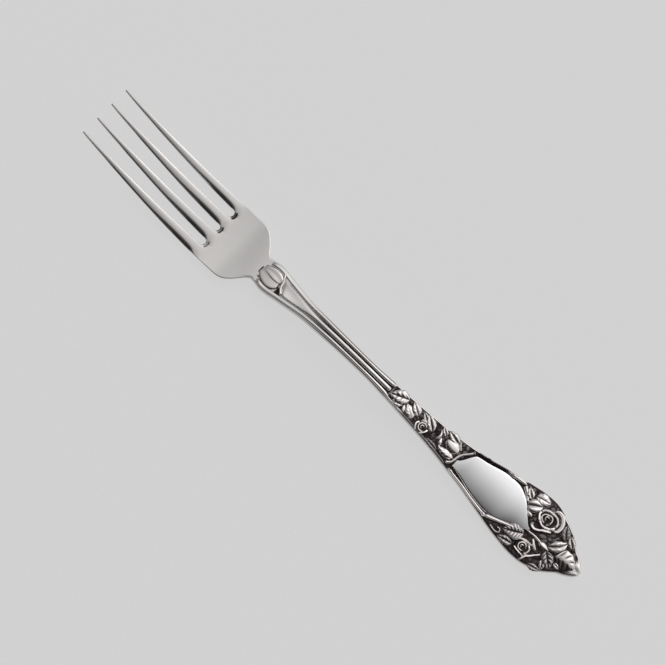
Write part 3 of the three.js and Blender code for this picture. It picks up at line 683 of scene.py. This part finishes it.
# %% [markdown]
# ## Leaves and buds
#
# The leaves are cast with a sunk middle vein, slanting side veins and a notched edge. They could
# be sculpted, but a leaf is well described by two numbers: the share u of its length and the
# share v of its half width. The middle line bows from base to tip, and every height is a
# function of u and v.

# %% Leaf surface
ALONG = np.linspace(0, 1, 49)
ACROSS = np.linspace(-1, 1, 33)
LEAF_HALF = 0.6
VEIN_WIDTH = 0.09


def place(s, share):
    """A place on the face: station, and share of the half width there."""
    return np.array([s, share * float(half_width(np.array(s)))])


def leaf_rings(base, tip, width, bow=0, rise=0.9, teeth=4, notch=0.1, fold=0, drop=1.2, rib=0.04,
               shade=0, dim=0, tone=1, tilt=0.14, blunt=0.8, edge=0.93, cup=0):
    """Middle line: a parabola from base to tip, bowed sideways. Half width: a swell that is zero at
    both ends, less a notch per tooth. Height: a cushion on each half with the vein sunk between them,
    or a tent over the vein where fold is set, plus a cosine for each side vein, slanting to the tip.
    The whole leaf leans by its tilt, lower on the fork's right, and a cup raises its left side by a
    parabola. The patina lies in the veins and on the edge, with a shade over the whole leaf and a
    painted shade over its left half, the side away from the light, and tone scales it all."""
    u, v = ALONG[:, None], ACROSS[None, :]
    side = np.abs(v)
    start, end = place(*base), place(*tip)
    along = (end - start) / np.linalg.norm(end - start)
    sideways = np.array([-along[1], along[0]])
    middle = start + (end - start) * u + sideways * bow * 4 * u * (1 - u)
    tangent = (end - start) + sideways * bow * 4 * (1 - 2 * u)
    tangent = tangent / np.linalg.norm(tangent, axis=1, keepdims=True)
    normal = np.stack([tangent[:, 1], -tangent[:, 0]], -1)
    swell = np.sin(np.pi * (0.02 + 0.96 * u) ** 0.8) ** blunt
    slant = teeth * (u - 0.22 * side)
    half = LEAF_HALF * width * swell * (1 - notch * np.abs(np.cos(np.pi * slant)))
    xy = middle[:, None, :] + (half * v)[..., None] * normal[:, None, :]
    cushion = 0.35 + 0.65 * np.sin(np.pi * (0.1 + 0.78 * side)) ** 0.8
    tent = 1 - 0.75 * side ** drop
    ribs = rib * np.cos(2 * np.pi * slant) * np.sin(np.pi * side)
    height = rise * (0.3 + 0.7 * swell) * (cushion + (tent - cushion) * fold + ribs)
    right = (xy - middle[:, None, :])[..., 1]
    height = height - tilt * right + cup * (1 - right / (LEAF_HALF * width)) ** 2 / 4
    vein = 0.85 * (1 - fold) * np.exp(-(v / VEIN_WIDTH) ** 2) * smoothstep(1, 0.85, u)
    between = 4 * rib * smoothstep(0.35, 1, -np.cos(2 * np.pi * slant)) * np.sin(np.pi * side)
    # Painted shade: the left half of a leaf, away from the light, is darkened by its left shade
    dimmed = shade + dim * smoothstep(0, 0.5, -right)
    dark = np.clip(dimmed + vein + between + smoothstep(edge, 1, side), 0, 1) * tone
    xy = np.concatenate([xy, xy[:, [-1, 0]]], 1)
    height = np.concatenate([height, np.full((len(ALONG), 2), -SINK)], 1)
    dark = np.concatenate([dark, np.full((len(ALONG), 2), tone)], 1)
    return on_face(xy[..., 0], xy[..., 1], height), dark


print("points in a leaf:", ALONG.size * (ACROSS.size + 2))

# %% [markdown]
# ## Where the leaves lie
#
# Each leaf is told by its base, its tip and its width. They could be dragged into place by hand, but
# a station and a share of the half width keep a leaf on the fork if an outline changes. Buds are
# leaves with a domed middle and no teeth.

# %% Places on the handle
def from_neck(along, share):
    """A station counted from the neck, with a share of the half width."""
    return NECK + along, share


def from_spray(along, share):
    """A station counted from the end of the stem, where the spray of leaves starts."""
    return STEM_END + along, share


def from_panel(length_share, share):
    """A station at a share of the panel's length."""
    return PANEL_START + length_share * PANEL_LENGTH, share


def from_cluster(along, share):
    """A station counted from the panel's far end, where the roses are."""
    return CLUSTER_START + along, share


def leaf(origin, base, tip, width, **shape):
    """A leaf's base and tip, both counted from one origin, its width and what else shapes it."""
    return dict(base=origin(*base), tip=origin(*tip), width=width, **shape)


print("the roses start at", from_cluster(0, 0)[0], "mm")

# %% All the leaves
bud = dict(fold=0.9, drop=2, rib=0, notch=0, tilt=0.05, blunt=0.5)
calm = dict(bud, drop=8, tilt=-0.105, tone=0.9, edge=0.84, cup=0.28)
plain = dict(fold=0.8, drop=1.6, rib=0, notch=0)
leaves = {
    "neck_bud": leaf(from_neck, (6.8, 0.14), (0.5, 0.2), 2.7, bow=-0.45, rise=0.6, **calm),
    "neck_petal": leaf(from_neck, (6.6, -0.1), (0.2, -0.04), 4.2, bow=0.3, rise=0.45, **calm),
    "panel_bud": leaf(from_spray, (24, 0.16), (19.7, 0.31), 3.2, rise=1.1, **bud),
    "cluster_bud": leaf(from_cluster, (-4.8, 0.41), (-1.4, 0.64), 3, rise=1.1, notch=0, rib=0, tilt=0.08,
                        blunt=0.5),
    "spray_tip_leaf": leaf(from_spray, (5.3, 0.6), (0.4, -0.23), 3.4, rib=0.07, shade=0.3),
    "spray_side_leaf": leaf(from_spray, (4.8, -0.18), (1.7, -0.72), 1.9),
    "spray_leaf_left": leaf(from_spray, (9.1, -0.45), (5.6, 0.2), 2.7, fold=0.6, shade=0.3),
    "spray_leaf_right": leaf(from_spray, (9.9, 0.1), (6.7, 0.79), 2.4, fold=0.3, shade=0.35),
    "rose_leaf": leaf(from_spray, (15.4, 0), (11.9, 0.82), 2.4, shade=0.35),
    "curled_leaf": leaf(from_spray, (16.9, -0.24), (16.6, 0.62), 0.9, bow=-0.9, **plain),
    "bud_leaf_left": leaf(from_spray, (24, -0.27), (18.9, -0.41), 2.1, bow=0.2, fold=0.8, drop=1.8,
                          rib=0.05),
    "bud_leaf_right": leaf(from_spray, (22.8, 0.55), (18.6, 0.9), 2.3, shade=0.35),
    "spray_low_leaf": leaf(from_spray, (6.3, -0.76), (5.1, 0), 1.1, rise=0.7, **plain),
    "rose_back_leaf": leaf(from_spray, (13.1, 0.18), (10.4, 0.73), 1.7, rise=0.7, shade=0.45),
    "curled_leaflet": leaf(from_spray, (19, -0.38), (18.3, 0.16), 1.1, rise=0.7, **plain),
    "upper_spray_leaf": leaf(from_spray, (19, 0.44), (16.7, 0.87), 1.4, rise=0.7, shade=0.3),
    "low_spray_leaf": leaf(from_spray, (19.4, -0.73), (15.1, -0.68), 1.5, rise=0.6, shade=0.65),
    "veined_leaf": leaf(from_cluster, (-0.4, -0.26), (-5.2, -0.61), 4.2, teeth=6, rib=0.07, notch=0.03,
                        shade=0.5),
    "low_leaf": leaf(from_cluster, (-0.8, -0.72), (-5, -0.9), 2.5, shade=0.52),
    "upper_leaf": leaf(from_cluster, (-4.6, 0.77), (-0.5, 0.85), 2.9, fold=0.3, shade=0.3),
    "inner_leaf": leaf(from_cluster, (-4.9, 0.62), (-7.4, 0.89), 1.9, bow=0.2, shade=0.25),
    "heart_leaf": leaf(from_cluster, (6.6, -0.06), (9.9, 0.6), 2.8, bow=-0.5, teeth=3, shade=0.3),
    "right_leaf": leaf(from_cluster, (11.7, 0.71), (9.1, 0.8), 2, shade=0.45),
    "middle_leaf": leaf(from_cluster, (4, -0.13), (7.5, -0.16), 1.5, rise=0.7, **plain),
    "left_leaf": leaf(from_cluster, (7.1, -0.21), (10.8, -0.83), 3, shade=0.58, rib=0.1),
    "left_edge_leaf": leaf(from_cluster, (5.8, -0.93), (9.4, -0.98), 1.7, rise=0.7, shade=0.55),
    "shade_leaf": leaf(from_cluster, (9, 0.55), (6.6, 0.91), 2.2, bow=0.2, rise=0.6, shade=0.65),
    "left_low_leaf": leaf(from_cluster, (8, -0.51), (9.3, -0.93), 1.7, rise=0.7, shade=0.4),
    "tip_side_leaf": leaf(from_cluster, (10.6, -0.45), (12.8, -0.68), 1.2, rise=0.6, shade=0.2),
    # The tip leaf's left half carries a painted shade
    "tip_leaf": leaf(from_cluster, (9.7, -0.14), (15.6, -0.1), 5, bow=0.4, rise=0.8, fold=0.8, rib=0.11,
                     shade=0.42, dim=0.4, tilt=0),
    "corner_leaf": leaf(from_cluster, (-1.8, 0.25), (-4.2, 0.31), 1.2, rise=0.7, **plain),
}
for node, shape in leaves.items():
    made[node] = loft(node + "_relief", *leaf_rings(**shape))
print("leaves and buds:", len(leaves))

# %% [markdown]
# ## Twigs
#
# The panel is framed by thorny twigs. A curve object with a bevel would do, but it has no knots,
# so a half-round profile is carried along a smooth path, and its size swells at each knot.

# %% Twig surface
KNOT_SWELL = 0.45
KNOT_LENGTH = 0.03


def spline(points, u):
    """A Catmull-Rom curve through the points: on each stretch the slope at a point is half the step
    between its neighbours. Returns places and unit tangents at the shares u."""
    p = np.array(points, float)
    p = np.concatenate([2 * p[:1] - p[1:2], p, 2 * p[-1:] - p[-2:-1]])
    where = np.clip(u, 0, 1) * (len(p) - 3)
    i = np.minimum(where.astype(int), len(p) - 4)
    t = (where - i)[:, None]
    a, b, c, d = p[i], p[i + 1], p[i + 2], p[i + 3]
    k1, k2, k3 = c - a, 2 * a - 5 * b + 4 * c - d, 3 * b - a - 3 * c + d
    at = b + (k1 * t + k2 * t ** 2 + k3 * t ** 3) / 2
    slope = (k1 + 2 * k2 * t + 3 * k3 * t ** 2) / 2
    return at, slope / np.linalg.norm(slope, axis=1, keepdims=True)


def twig_rings(through, widths, rise=0.75, knots=(), shade=(0, 0)):
    """Rings of a twig: half an ellipse across the path, its width going from the first to the last
    width and swelling by a bell at every knot, with rounded ends. The patina lies along both sides,
    or over the twig where its shade is darker, which changes from first to last past the middle."""
    u = np.linspace(0, 1, 40 * (len(through) - 1))
    at, tangent = spline([place(*p) for p in through], u)
    normal = np.stack([tangent[:, 1], -tangent[:, 0]], -1)
    bells = sum((np.exp(-((u - k) / KNOT_LENGTH) ** 2) for k in knots), np.zeros_like(u))
    swell = 1 + KNOT_SWELL * bells
    closing = pinch(u, 0.05)
    half = (widths[0] + (widths[1] - widths[0]) * u) / 2 * swell * closing
    across = np.concatenate([-np.cos(section_angle), [1, -1]])
    up = np.concatenate([np.sin(section_angle) ** 0.8, [0, 0]])
    base = np.concatenate([np.zeros(len(section_angle)), [-SINK, -SINK]])
    xy = at[:, None, :] + (half[:, None] * across)[..., None] * normal[:, None, :]
    z = (rise * swell * closing)[:, None] * up + base
    added_darkness = shade[0] + (shade[1] - shade[0]) * smoothstep(0.6, 0.8, u)
    dark = np.maximum(1 - smoothstep(0.15, 0.6, up), added_darkness[:, None])
    return on_face(xy[..., 0], xy[..., 1], z), dark


print("points across a twig:", section_angle.size + 2)

# %% [markdown]
# ## Where the twigs run
#
# The twigs grow round the panel and between the roses. A few points give each its path, from the
# thick end to the thin one, and a knot sits where a thorn was broken off.

# %% All the twigs
twigs = {
    "neck_stem": dict(
        through=[from_neck(5.9, 0.72), from_neck(6.9, 0.36), from_neck(7.6, -0.1),
                 from_neck(8.9, -0.5)],
        widths=(0.8, 0.8)),
    "panel_twig_end": dict(
        through=[from_panel(-0.07, -0.76), from_panel(-0.023, -0.5), from_panel(-0.011, -0.1),
                 from_panel(0.012, 0.23), from_panel(0.063, 0.57), from_panel(0.095, 0.8)],
        widths=(0.9, 0.8), knots=(0.96,)),
    "panel_twig_right": dict(
        through=[from_panel(0.105, 0.86), from_panel(0.28, 0.88), from_panel(0.45, 0.91),
                 from_panel(0.68, 0.88)],
        widths=(0.7, 0.9), knots=(0.25, 0.78), shade=(1, 0.3)),
    "panel_twig_left": dict(
        through=[from_panel(-0.008, -0.84), from_panel(0.19, -0.86), from_panel(0.38, -0.87),
                 from_panel(0.6, -0.84)],
        widths=(0.8, 0.9), knots=(0.08, 0.95)),
    "cluster_twig_left": dict(
        through=[from_panel(0.58, -0.82), from_cluster(-5, -0.43), from_cluster(-0.6, -0.2)],
        widths=(1.1, 0.6)),
    "cluster_twig_right": dict(
        through=[from_panel(0.675, 0.83), from_cluster(-7.1, 0.68), from_cluster(-5.3, 0.48)],
        widths=(1.3, 0.9)),
    "tendril": dict(
        through=[from_cluster(-8.6, -0.86), from_cluster(-6.4, -0.87), from_cluster(-5.4, -0.8),
                 from_cluster(-5.7, -0.7), from_cluster(-6.7, -0.72)],
        widths=(0.5, 0.5), rise=0.6),
    "bud_stem": dict(
        through=[from_spray(22.5, 0.78), from_spray(23.5, 0.54), from_spray(24.3, 0.33)],
        widths=(0.6, 0.6)),
    "middle_stem": dict(
        through=[from_cluster(-0.1, -0.12), from_cluster(2.3, -0.1), from_cluster(4.4, -0.13)],
        widths=(0.7, 0.9)),
}
for node, shape in twigs.items():
    made[node] = loft(node + "_relief", *twig_rings(**shape))
print("twigs:", len(twigs))

# %% [markdown]
# ## Roses
#
# A rose is seen from above: petals wrap round its heart, each with a rolled bright rim and a
# shaded fall behind it. Modelling every petal as its own sheet would hide most of it, so the
# rose is one surface over polar coordinates, and its height is the highest petal at each point.

# %% Rose surface
ROUND_STEPS = 216
OUT_STEPS = 90
PETAL_END = 0.12
ROSE_LEAN = 0.08


def rose_rings(heart, bed_radius, bed_rise, petals):
    """Rings of a rose from its heart outwards. A petal has a rim radius by angle. Its height is zero
    outside the rim, climbs to its rise just inside it, and falls away over its depth. The rose takes
    the highest petal at each place, its outline follows the widest petals, and it leans to the
    right."""
    centre = place(*heart)
    angle = np.linspace(0, 2 * np.pi, ROUND_STEPS, endpoint=False)
    rims, fades = [], []
    for first, last, radii, *_ in petals:
        share = ((np.degrees(angle) - first) % 360) / (last - first)
        rim_line = smooth_line(list(zip(np.linspace(0, 1, len(radii)), radii)))
        rims.append(rim_line(np.minimum(share, 1)))
        ends = np.sqrt(np.clip(np.minimum(share, 1 - share) / PETAL_END, 0, 1))
        fades.append(ends * (0.75 + 0.25 * np.sin(np.pi * np.clip(share, 0, 1))))
    rims, fades = np.array(rims), np.array(fades)
    reach = bed_radius + ((rims - bed_radius) * np.minimum(1, fades / 0.6)).max(0).clip(0)
    out = np.linspace(0.01, 1, OUT_STEPS)[:, None] * reach
    height = bed_rise * smoothstep(1, 0.8, out / bed_radius)
    light = np.zeros_like(height)
    for (_, _, _, depth, rise), rim, fade in zip(petals, rims, fades):
        inward = rim - out
        roll = 0.3 + 0.25 * depth
        wall = smoothstep(-0.12, 0.05, inward)
        fall = 1 - 0.75 * smoothstep(roll - 0.1, roll + 0.6 * depth, inward)
        petal = rise * fade * wall * fall
        rolled = window(-0.1, 0.02, roll, roll + 0.65, inward)
        light = np.where(petal > height, rolled, light)
        height = np.maximum(height, petal)
    dark = 1 - light
    height = height - ROSE_LEAN * out * np.sin(angle)
    xy = centre + out[..., None] * np.stack([np.cos(angle), np.sin(angle)], -1)
    xy = np.concatenate([xy, xy[-1:], (xy[-1:] + centre) / 2])
    height = np.concatenate([height, np.full((2, ROUND_STEPS), -SINK)])
    dark = np.concatenate([dark, np.ones((2, ROUND_STEPS))])
    return on_face(xy[..., 0], xy[..., 1], height), dark


print("points in a rose:", ROUND_STEPS * (OUT_STEPS + 2))

# %% [markdown]
# ## The three roses
#
# No two of the roses are alike, so a ring of equal petals would look stamped. Each petal is told by
# its first and last angle, its rim radii between them, its depth and its rise, from the outer petals
# to the heart.

# %% Petals of the three roses
roses = {
    "large_rose": dict(heart=from_cluster(1.4, 0.49), bed_radius=2.3, bed_rise=0.5, petals=[
        (-30, 95, (3.6, 4.8, 5, 4.85, 4.2, 2.5), 1.2, 0.85),
        (235, 335, (4.6, 4.65, 4.1, 3.55, 3.63, 4.1), 1, 0.8),
        (-25, 190, (3.2, 3.5, 3.15, 2.5, 2.28, 2.38, 2.6, 2.55), 0.8, 1.2),
        (150, 372, (2.55, 2.6, 2.28, 2.2, 2.5, 2.75, 3.3, 3.5), 0.8, 1.15),
        (-60, 285, (1.75, 1.7, 1.15, 1.6, 1.35), 0.4, 1.4),
        (0, 300, (0.75, 0.6, 0.7), 0.3, 1.55),
    ]),
    "small_rose": dict(heart=from_cluster(1.6, -0.57), bed_radius=2.2, bed_rise=0.45, petals=[
        (22, 84, (3.95, 3.55, 3.85), 0.8, 0.75),
        (-65, 26, (4.1, 3.3, 3, 3.4, 4.2, 5.8), 0.9, 0.8),
        (45, 178, (2.8, 2.15, 2.1, 2.35, 2.95), 1, 1.15),
        (212, 322, (2.45, 2.1, 2, 2.2, 2.7), 0.6, 1.1),
        (-35, 60, (2.2, 2.4, 2), 0.5, 1.05),
        (0, 330, (1.35, 1.2, 1.3), 0.3, 1.3),
        (0, 300, (0.6, 0.5, 0.6), 0.3, 1.5),
    ]),
    "spray_rose": dict(heart=from_spray(12.6, -0.33), bed_radius=1.8, bed_rise=0.4, petals=[
        (45, 145, (2, 2, 2), 0.6, 0.95),
        (-85, 25, (1.9, 1.7, 1.85), 0.5, 0.95),
        (150, 245, (1.8, 2.1, 2.1), 0.6, 0.85),
        (0, 330, (1.35, 1.2, 1.3), 0.3, 1.15),
        (0, 300, (0.65, 0.55, 0.6), 0.25, 1.25),
    ]),
}
for node, shape in roses.items():
    made[node] = loft(node + "_relief", *rose_rings(**shape))
print("roses:", len(roses))

# %% [markdown]
# ## The monogram panel
#
# The plain panel is a shallow dome, polished like a mirror, where an owner's letters would be cut.
# A flat plate would show one grey. The dome gathers the bright side of the room along one edge and
# the dark side along the other.

# %% Panel surface
PANEL_RISE = 0.95


def panel_rings():
    """Rings across the panel: left and right edges follow smooth lines, and the height is a parabola
    across, lowered along both edges. Toward the panel's point it curves more and its crest moves
    right."""
    share = np.linspace(0.01, 1, 140)
    s = PANEL_START + share * PANEL_LENGTH
    low, high = panel_left(share) * half_width(s), panel_right(share) * half_width(s)
    v = np.linspace(-1, 1, 41)
    reach = (high - low)[:, None] / 2
    y = (low + high)[:, None] / 2 + reach * v
    crest = 0.5 + 1.25 * smoothstep(0.62, 0.85, share)[:, None]
    curve = 0.7 + 0.63 * smoothstep(0.66, 1, share)[:, None]
    dome = PANEL_RISE - curve * ((v * reach - crest) / 6) ** 2
    dome = dome - 0.2 * smoothstep(0.93, 1, np.abs(v))
    z = np.concatenate([dome, np.full((len(s), 2), -SINK)], 1)
    y = np.concatenate([y, y[:, [-1, 0]]], 1)
    dark = np.zeros_like(z)
    dark[:, -2:] = 1
    return on_face(s[:, None], y, z), dark


made["monogram_panel"] = loft("mirror_panel", *panel_rings())
print("panel points:", len(made["monogram_panel"].data.vertices))

# %% [markdown]
# ## Silver
#
# Sterling silver, polished by hand: a near-white metal with a faint warm cast. The recesses were
# blackened with sulphide and the high places polished bright again, which the patina number on each
# point carries, together with painted shade on sides away from the light and painted light toward
# the handle's end. Fine polishing marks break up the reflections.

# %% Colours and the helper that adds nodes
def linear(hex_colour):
    """sRGB hex to linear RGBA: up to 0.04045 a channel c becomes c/12.92, and above that
    ((c + 0.055)/1.055)^2.4."""
    srgb = np.array([int(hex_colour[i:i + 2], 16) for i in (1, 3, 5)]) / 255
    rgb = np.where(srgb <= 0.04045, srgb / 12.92, ((srgb + 0.055) / 1.055) ** 2.4)
    return (*rgb, 1)


def add_node(tree, kind, settings=(), links=()):
    """A node with its settings (property, socket name or socket number to value) and its links
    (socket to output)."""
    node = tree.nodes.new(kind)
    for name, value in dict(settings).items():
        if isinstance(name, int) or name in node.inputs:
            node.inputs[name].default_value = value
        else:
            setattr(node, name, value)
    for name, output in dict(links).items():
        tree.links.new(output, node.inputs[name])
    return node


def per_metre(size_mm):
    """Texture scale for features of a size in millimetres, since Object coordinates are in metres."""
    return 1 / (size_mm * MM)


SULPHIDE = linear("#382f30")
print("black sulphide in linear light:", [round(float(c), 3) for c in SULPHIDE[:3]])

# %% [markdown]
# ## Three finishes
#
# The same metal is finished in three ways: rubbed by hand on the blank, buffed like a mirror on the
# panel, and blackened and wiped on the ornament. An image could paint the black, but a number on
# each point follows the relief exactly and needs no unwrapping.

# %% Silver finishes
def silver(name, bright, roughness, mark_depth):
    """Metal whose colour goes from bright silver to black sulphide with the patina and painted shade,
    with polishing marks of a depth in mm."""
    material = bpy.data.materials.new(name)
    material.use_nodes = True
    tree = material.node_tree
    tree.nodes.clear()
    coordinates = add_node(tree, "ShaderNodeTexCoord")
    # The per-point number blackens the metal for real oxide and for painted shade
    patina_and_shade = add_node(tree, "ShaderNodeAttribute", {"attribute_name": "patina_and_shade"})
    cloud = add_node(tree, "ShaderNodeTexNoise", {"Scale": per_metre(1.2), "Detail": 4},
                     {"Vector": coordinates.outputs["Object"]})
    black = add_node(tree, "ShaderNodeMapRange",
                     {"From Min": 0.25, "From Max": 0.95, "interpolation_type": "SMOOTHSTEP"},
                     {"Value": patina_and_shade.outputs["Fac"]})
    # A mix of colours has its factor in socket 0 and its two colours in sockets 6 and 7.
    colour = add_node(tree, "ShaderNodeMix", {"data_type": "RGBA", 6: linear(bright), 7: SULPHIDE},
                      {0: black.outputs["Result"]})
    rough_bright = add_node(tree, "ShaderNodeMapRange",
                            {"To Min": roughness - 0.05, "To Max": roughness + 0.05},
                            {"Value": cloud.outputs["Fac"]})
    rough = add_node(tree, "ShaderNodeMapRange", {"To Max": 0.5},
                     {"Value": black.outputs["Result"], "To Min": rough_bright.outputs["Result"]})
    stretch = add_node(tree, "ShaderNodeMapping", {"Scale": (0.12, 1, 1)},
                       {"Vector": coordinates.outputs["Object"]})
    # Polishing marks are finer than the eye can part here, so they are drawn at a quarter millimetre.
    marks = add_node(tree, "ShaderNodeTexNoise", {"Scale": per_metre(0.25), "Detail": 3},
                     {"Vector": stretch.outputs["Vector"]})
    bump = add_node(tree, "ShaderNodeBump", {"Strength": 1, "Distance": mark_depth * MM},
                    {"Height": marks.outputs["Fac"]})
    shader = add_node(tree, "ShaderNodeBsdfPrincipled", {"Metallic": 1},
                      {"Base Color": colour.outputs[2], "Roughness": rough.outputs["Result"],
                       "Normal": bump.outputs["Normal"]})
    add_node(tree, "ShaderNodeOutputMaterial", (), {"Surface": shader.outputs["BSDF"]})
    return material


# Rubbed by hand with rouge: soft reflections that still show light and dark sides of the room.
satin_silver = silver(
    "sterling_silver_hand_polished", bright="#e5e2e0", roughness=0.24, mark_depth=0.002)
# Buffed on a wheel: a clear reflection with an even gradient over the dome.
mirror_silver = silver(
    "sterling_silver_mirror_polished", bright="#e9e8e9", roughness=0.16, mark_depth=0.0008)
# Dipped in sulphide and wiped: white crests over black recesses, so the relief reads from afar.
oxidised_silver = silver(
    "sterling_silver_oxidised_recesses", bright="#eee8e6", roughness=0.2, mark_depth=0.004)
print("finishes:", satin_silver.name, mirror_silver.name, oxidised_silver.name)

# %% [markdown]
# ## Each piece takes its place
#
# Every piece rides on the fork's one body, stands for its CAD node and names the finish it takes.

# %% Ride, replace and finish
polished = {"fork_blank": satin_silver, "monogram_panel": mirror_silver, "centre_reed": satin_silver,
            "right_reed": satin_silver, "left_reed": satin_silver}
for node, piece in made.items():
    piece.data.materials.append(polished.get(node, oxidised_silver))
    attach(piece, "root")
    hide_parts(node)
print("pieces:", len(made), "of", len(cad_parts), "nodes")

# %% [markdown]
# ## The floor
#
# The fork lies on plain pale grey paper. A lit sheet alone would shade off to the corners, so the
# camera sees mostly the paper's own even grey, the metal mirrors some of it, and the rest is matt
# paper that keeps the fork's soft shadow.

# %% Floor
FLOOR_SIZE = 3
FLOOR_HEIGHT = -2e-5
floor_mesh = bpy.data.meshes.new("floor")
corners = [(-1, -1), (1, -1), (1, 1), (-1, 1)]
floor_mesh.from_pydata(
    [(x * FLOOR_SIZE / 2, y * FLOOR_SIZE / 2, FLOOR_HEIGHT) for x, y in corners], [], [(0, 1, 2, 3)])
floor = bpy.data.objects.new("floor", floor_mesh)
bpy.context.scene.collection.objects.link(floor)
print("floor side in m:", FLOOR_SIZE)

# %% Paper
# Matt, uncoated paper: an even pale grey without gloss.
PAPER_GREY = linear("#d3d3d3")
SEEN_GLOW = 0.85
MIRRORED_GLOW = 0.65
paper = bpy.data.materials.new("pale_grey_paper")
paper.use_nodes = True
paper_tree = paper.node_tree
paper_tree.nodes.clear()
ray = add_node(paper_tree, "ShaderNodeLightPath")
mirrored = add_node(paper_tree, "ShaderNodeMath", {"operation": "MULTIPLY", 1: MIRRORED_GLOW},
                    {0: ray.outputs["Is Glossy Ray"]})
glow_share = add_node(paper_tree, "ShaderNodeMath", {"operation": "MULTIPLY_ADD", 1: SEEN_GLOW},
                      {0: ray.outputs["Is Camera Ray"], 2: mirrored.outputs["Value"]})
matt = add_node(paper_tree, "ShaderNodeBsdfDiffuse", {"Color": PAPER_GREY})
glow = add_node(paper_tree, "ShaderNodeEmission", {"Color": PAPER_GREY, "Strength": 1.07})
paper_mix = add_node(paper_tree, "ShaderNodeMixShader", (), {
    0: glow_share.outputs["Value"], 1: matt.outputs["BSDF"], 2: glow.outputs["Emission"]})
add_node(paper_tree, "ShaderNodeOutputMaterial", (), {"Surface": paper_mix.outputs["Shader"]})
floor_mesh.materials.append(paper)
print("paper:", paper.name)

# %% [markdown]
# ## The light
#
# Silver shows the room more than itself. Lamps alone would leave it black with sparks, so the room is
# a light tent: bright to the fork's right, mid grey overhead, dark on the other side, with a pale
# horizon. A weak soft box adds the shadow.

# %% Light tent
BRIGHT_SIDE = Vector((-0.1, 1, 0)).normalized()
# The cosine of the angle to the bright side, and the grey of the tent there
ROOM = [(-0.45, 0.03), (-0.25, 0.25), (0.123, 0.66), (0.42, 1.08), (0.6, 0.98), (0.8, 0.72)]
world = bpy.data.worlds.new("light_tent")
bpy.context.scene.world = world
world.use_nodes = True
world_tree = world.node_tree
world_tree.nodes.clear()
direction = add_node(world_tree, "ShaderNodeTexCoord")
toward = add_node(world_tree, "ShaderNodeVectorMath", {"operation": "DOT_PRODUCT", 1: BRIGHT_SIDE},
                  {0: direction.outputs["Generated"]})
share_of_way = add_node(world_tree, "ShaderNodeMapRange", {"From Min": -1},
                        {"Value": toward.outputs["Value"]})
level = add_node(world_tree, "ShaderNodeValToRGB", (), {"Fac": share_of_way.outputs["Result"]})
while len(level.color_ramp.elements) < len(ROOM):
    level.color_ramp.elements.new(0.5)
for stop, (way, grey) in zip(level.color_ramp.elements, ROOM):
    stop.position = (way + 1) / 2
    stop.color = (grey, grey, grey, 1)
axes = add_node(world_tree, "ShaderNodeSeparateXYZ", (), {"Vector": direction.outputs["Generated"]})
far_end = add_node(world_tree, "ShaderNodeMapRange",
                   {"From Min": -0.85, "From Max": -0.3, "To Min": 0.2, "To Max": 1},
                   {"Value": axes.outputs["X"]})
strength = add_node(world_tree, "ShaderNodeMath", {"operation": "MULTIPLY"},
                    {0: level.outputs["Color"], 1: far_end.outputs["Result"]})
horizon = add_node(world_tree, "ShaderNodeMapRange",
                   {"From Min": 0.16, "From Max": 0.36, "To Min": 0.45, "To Max": 0},
                   {"Value": axes.outputs["Z"]})
pale = add_node(world_tree, "ShaderNodeMath", {"operation": "MAXIMUM"},
                {0: strength.outputs["Value"], 1: horizon.outputs["Result"]})
tent = add_node(world_tree, "ShaderNodeBackground", {"Color": (1, 0.998, 0.996, 1)},
                {"Strength": pale.outputs["Value"]})
add_node(world_tree, "ShaderNodeOutputWorld", (), {"Surface": tent.outputs["Background"]})
print("greys of the tent:", [grey for _, grey in ROOM])

# %% Soft box
lamp = bpy.data.objects.new("soft_box", bpy.data.lights.new("soft_box", "AREA"))
lamp.data.size = 0.5
lamp.data.energy = 0.7
lamp.location = (0.05, 0.6, 0.5)
lamp.rotation_euler = (Vector((0, 0, 0)) - lamp.location).to_track_quat("-Z", "Y").to_euler()
bpy.context.scene.collection.objects.link(lamp)
bpy.context.scene.view_settings.view_transform = "Standard"
print("soft box in watts:", round(lamp.data.energy, 2))
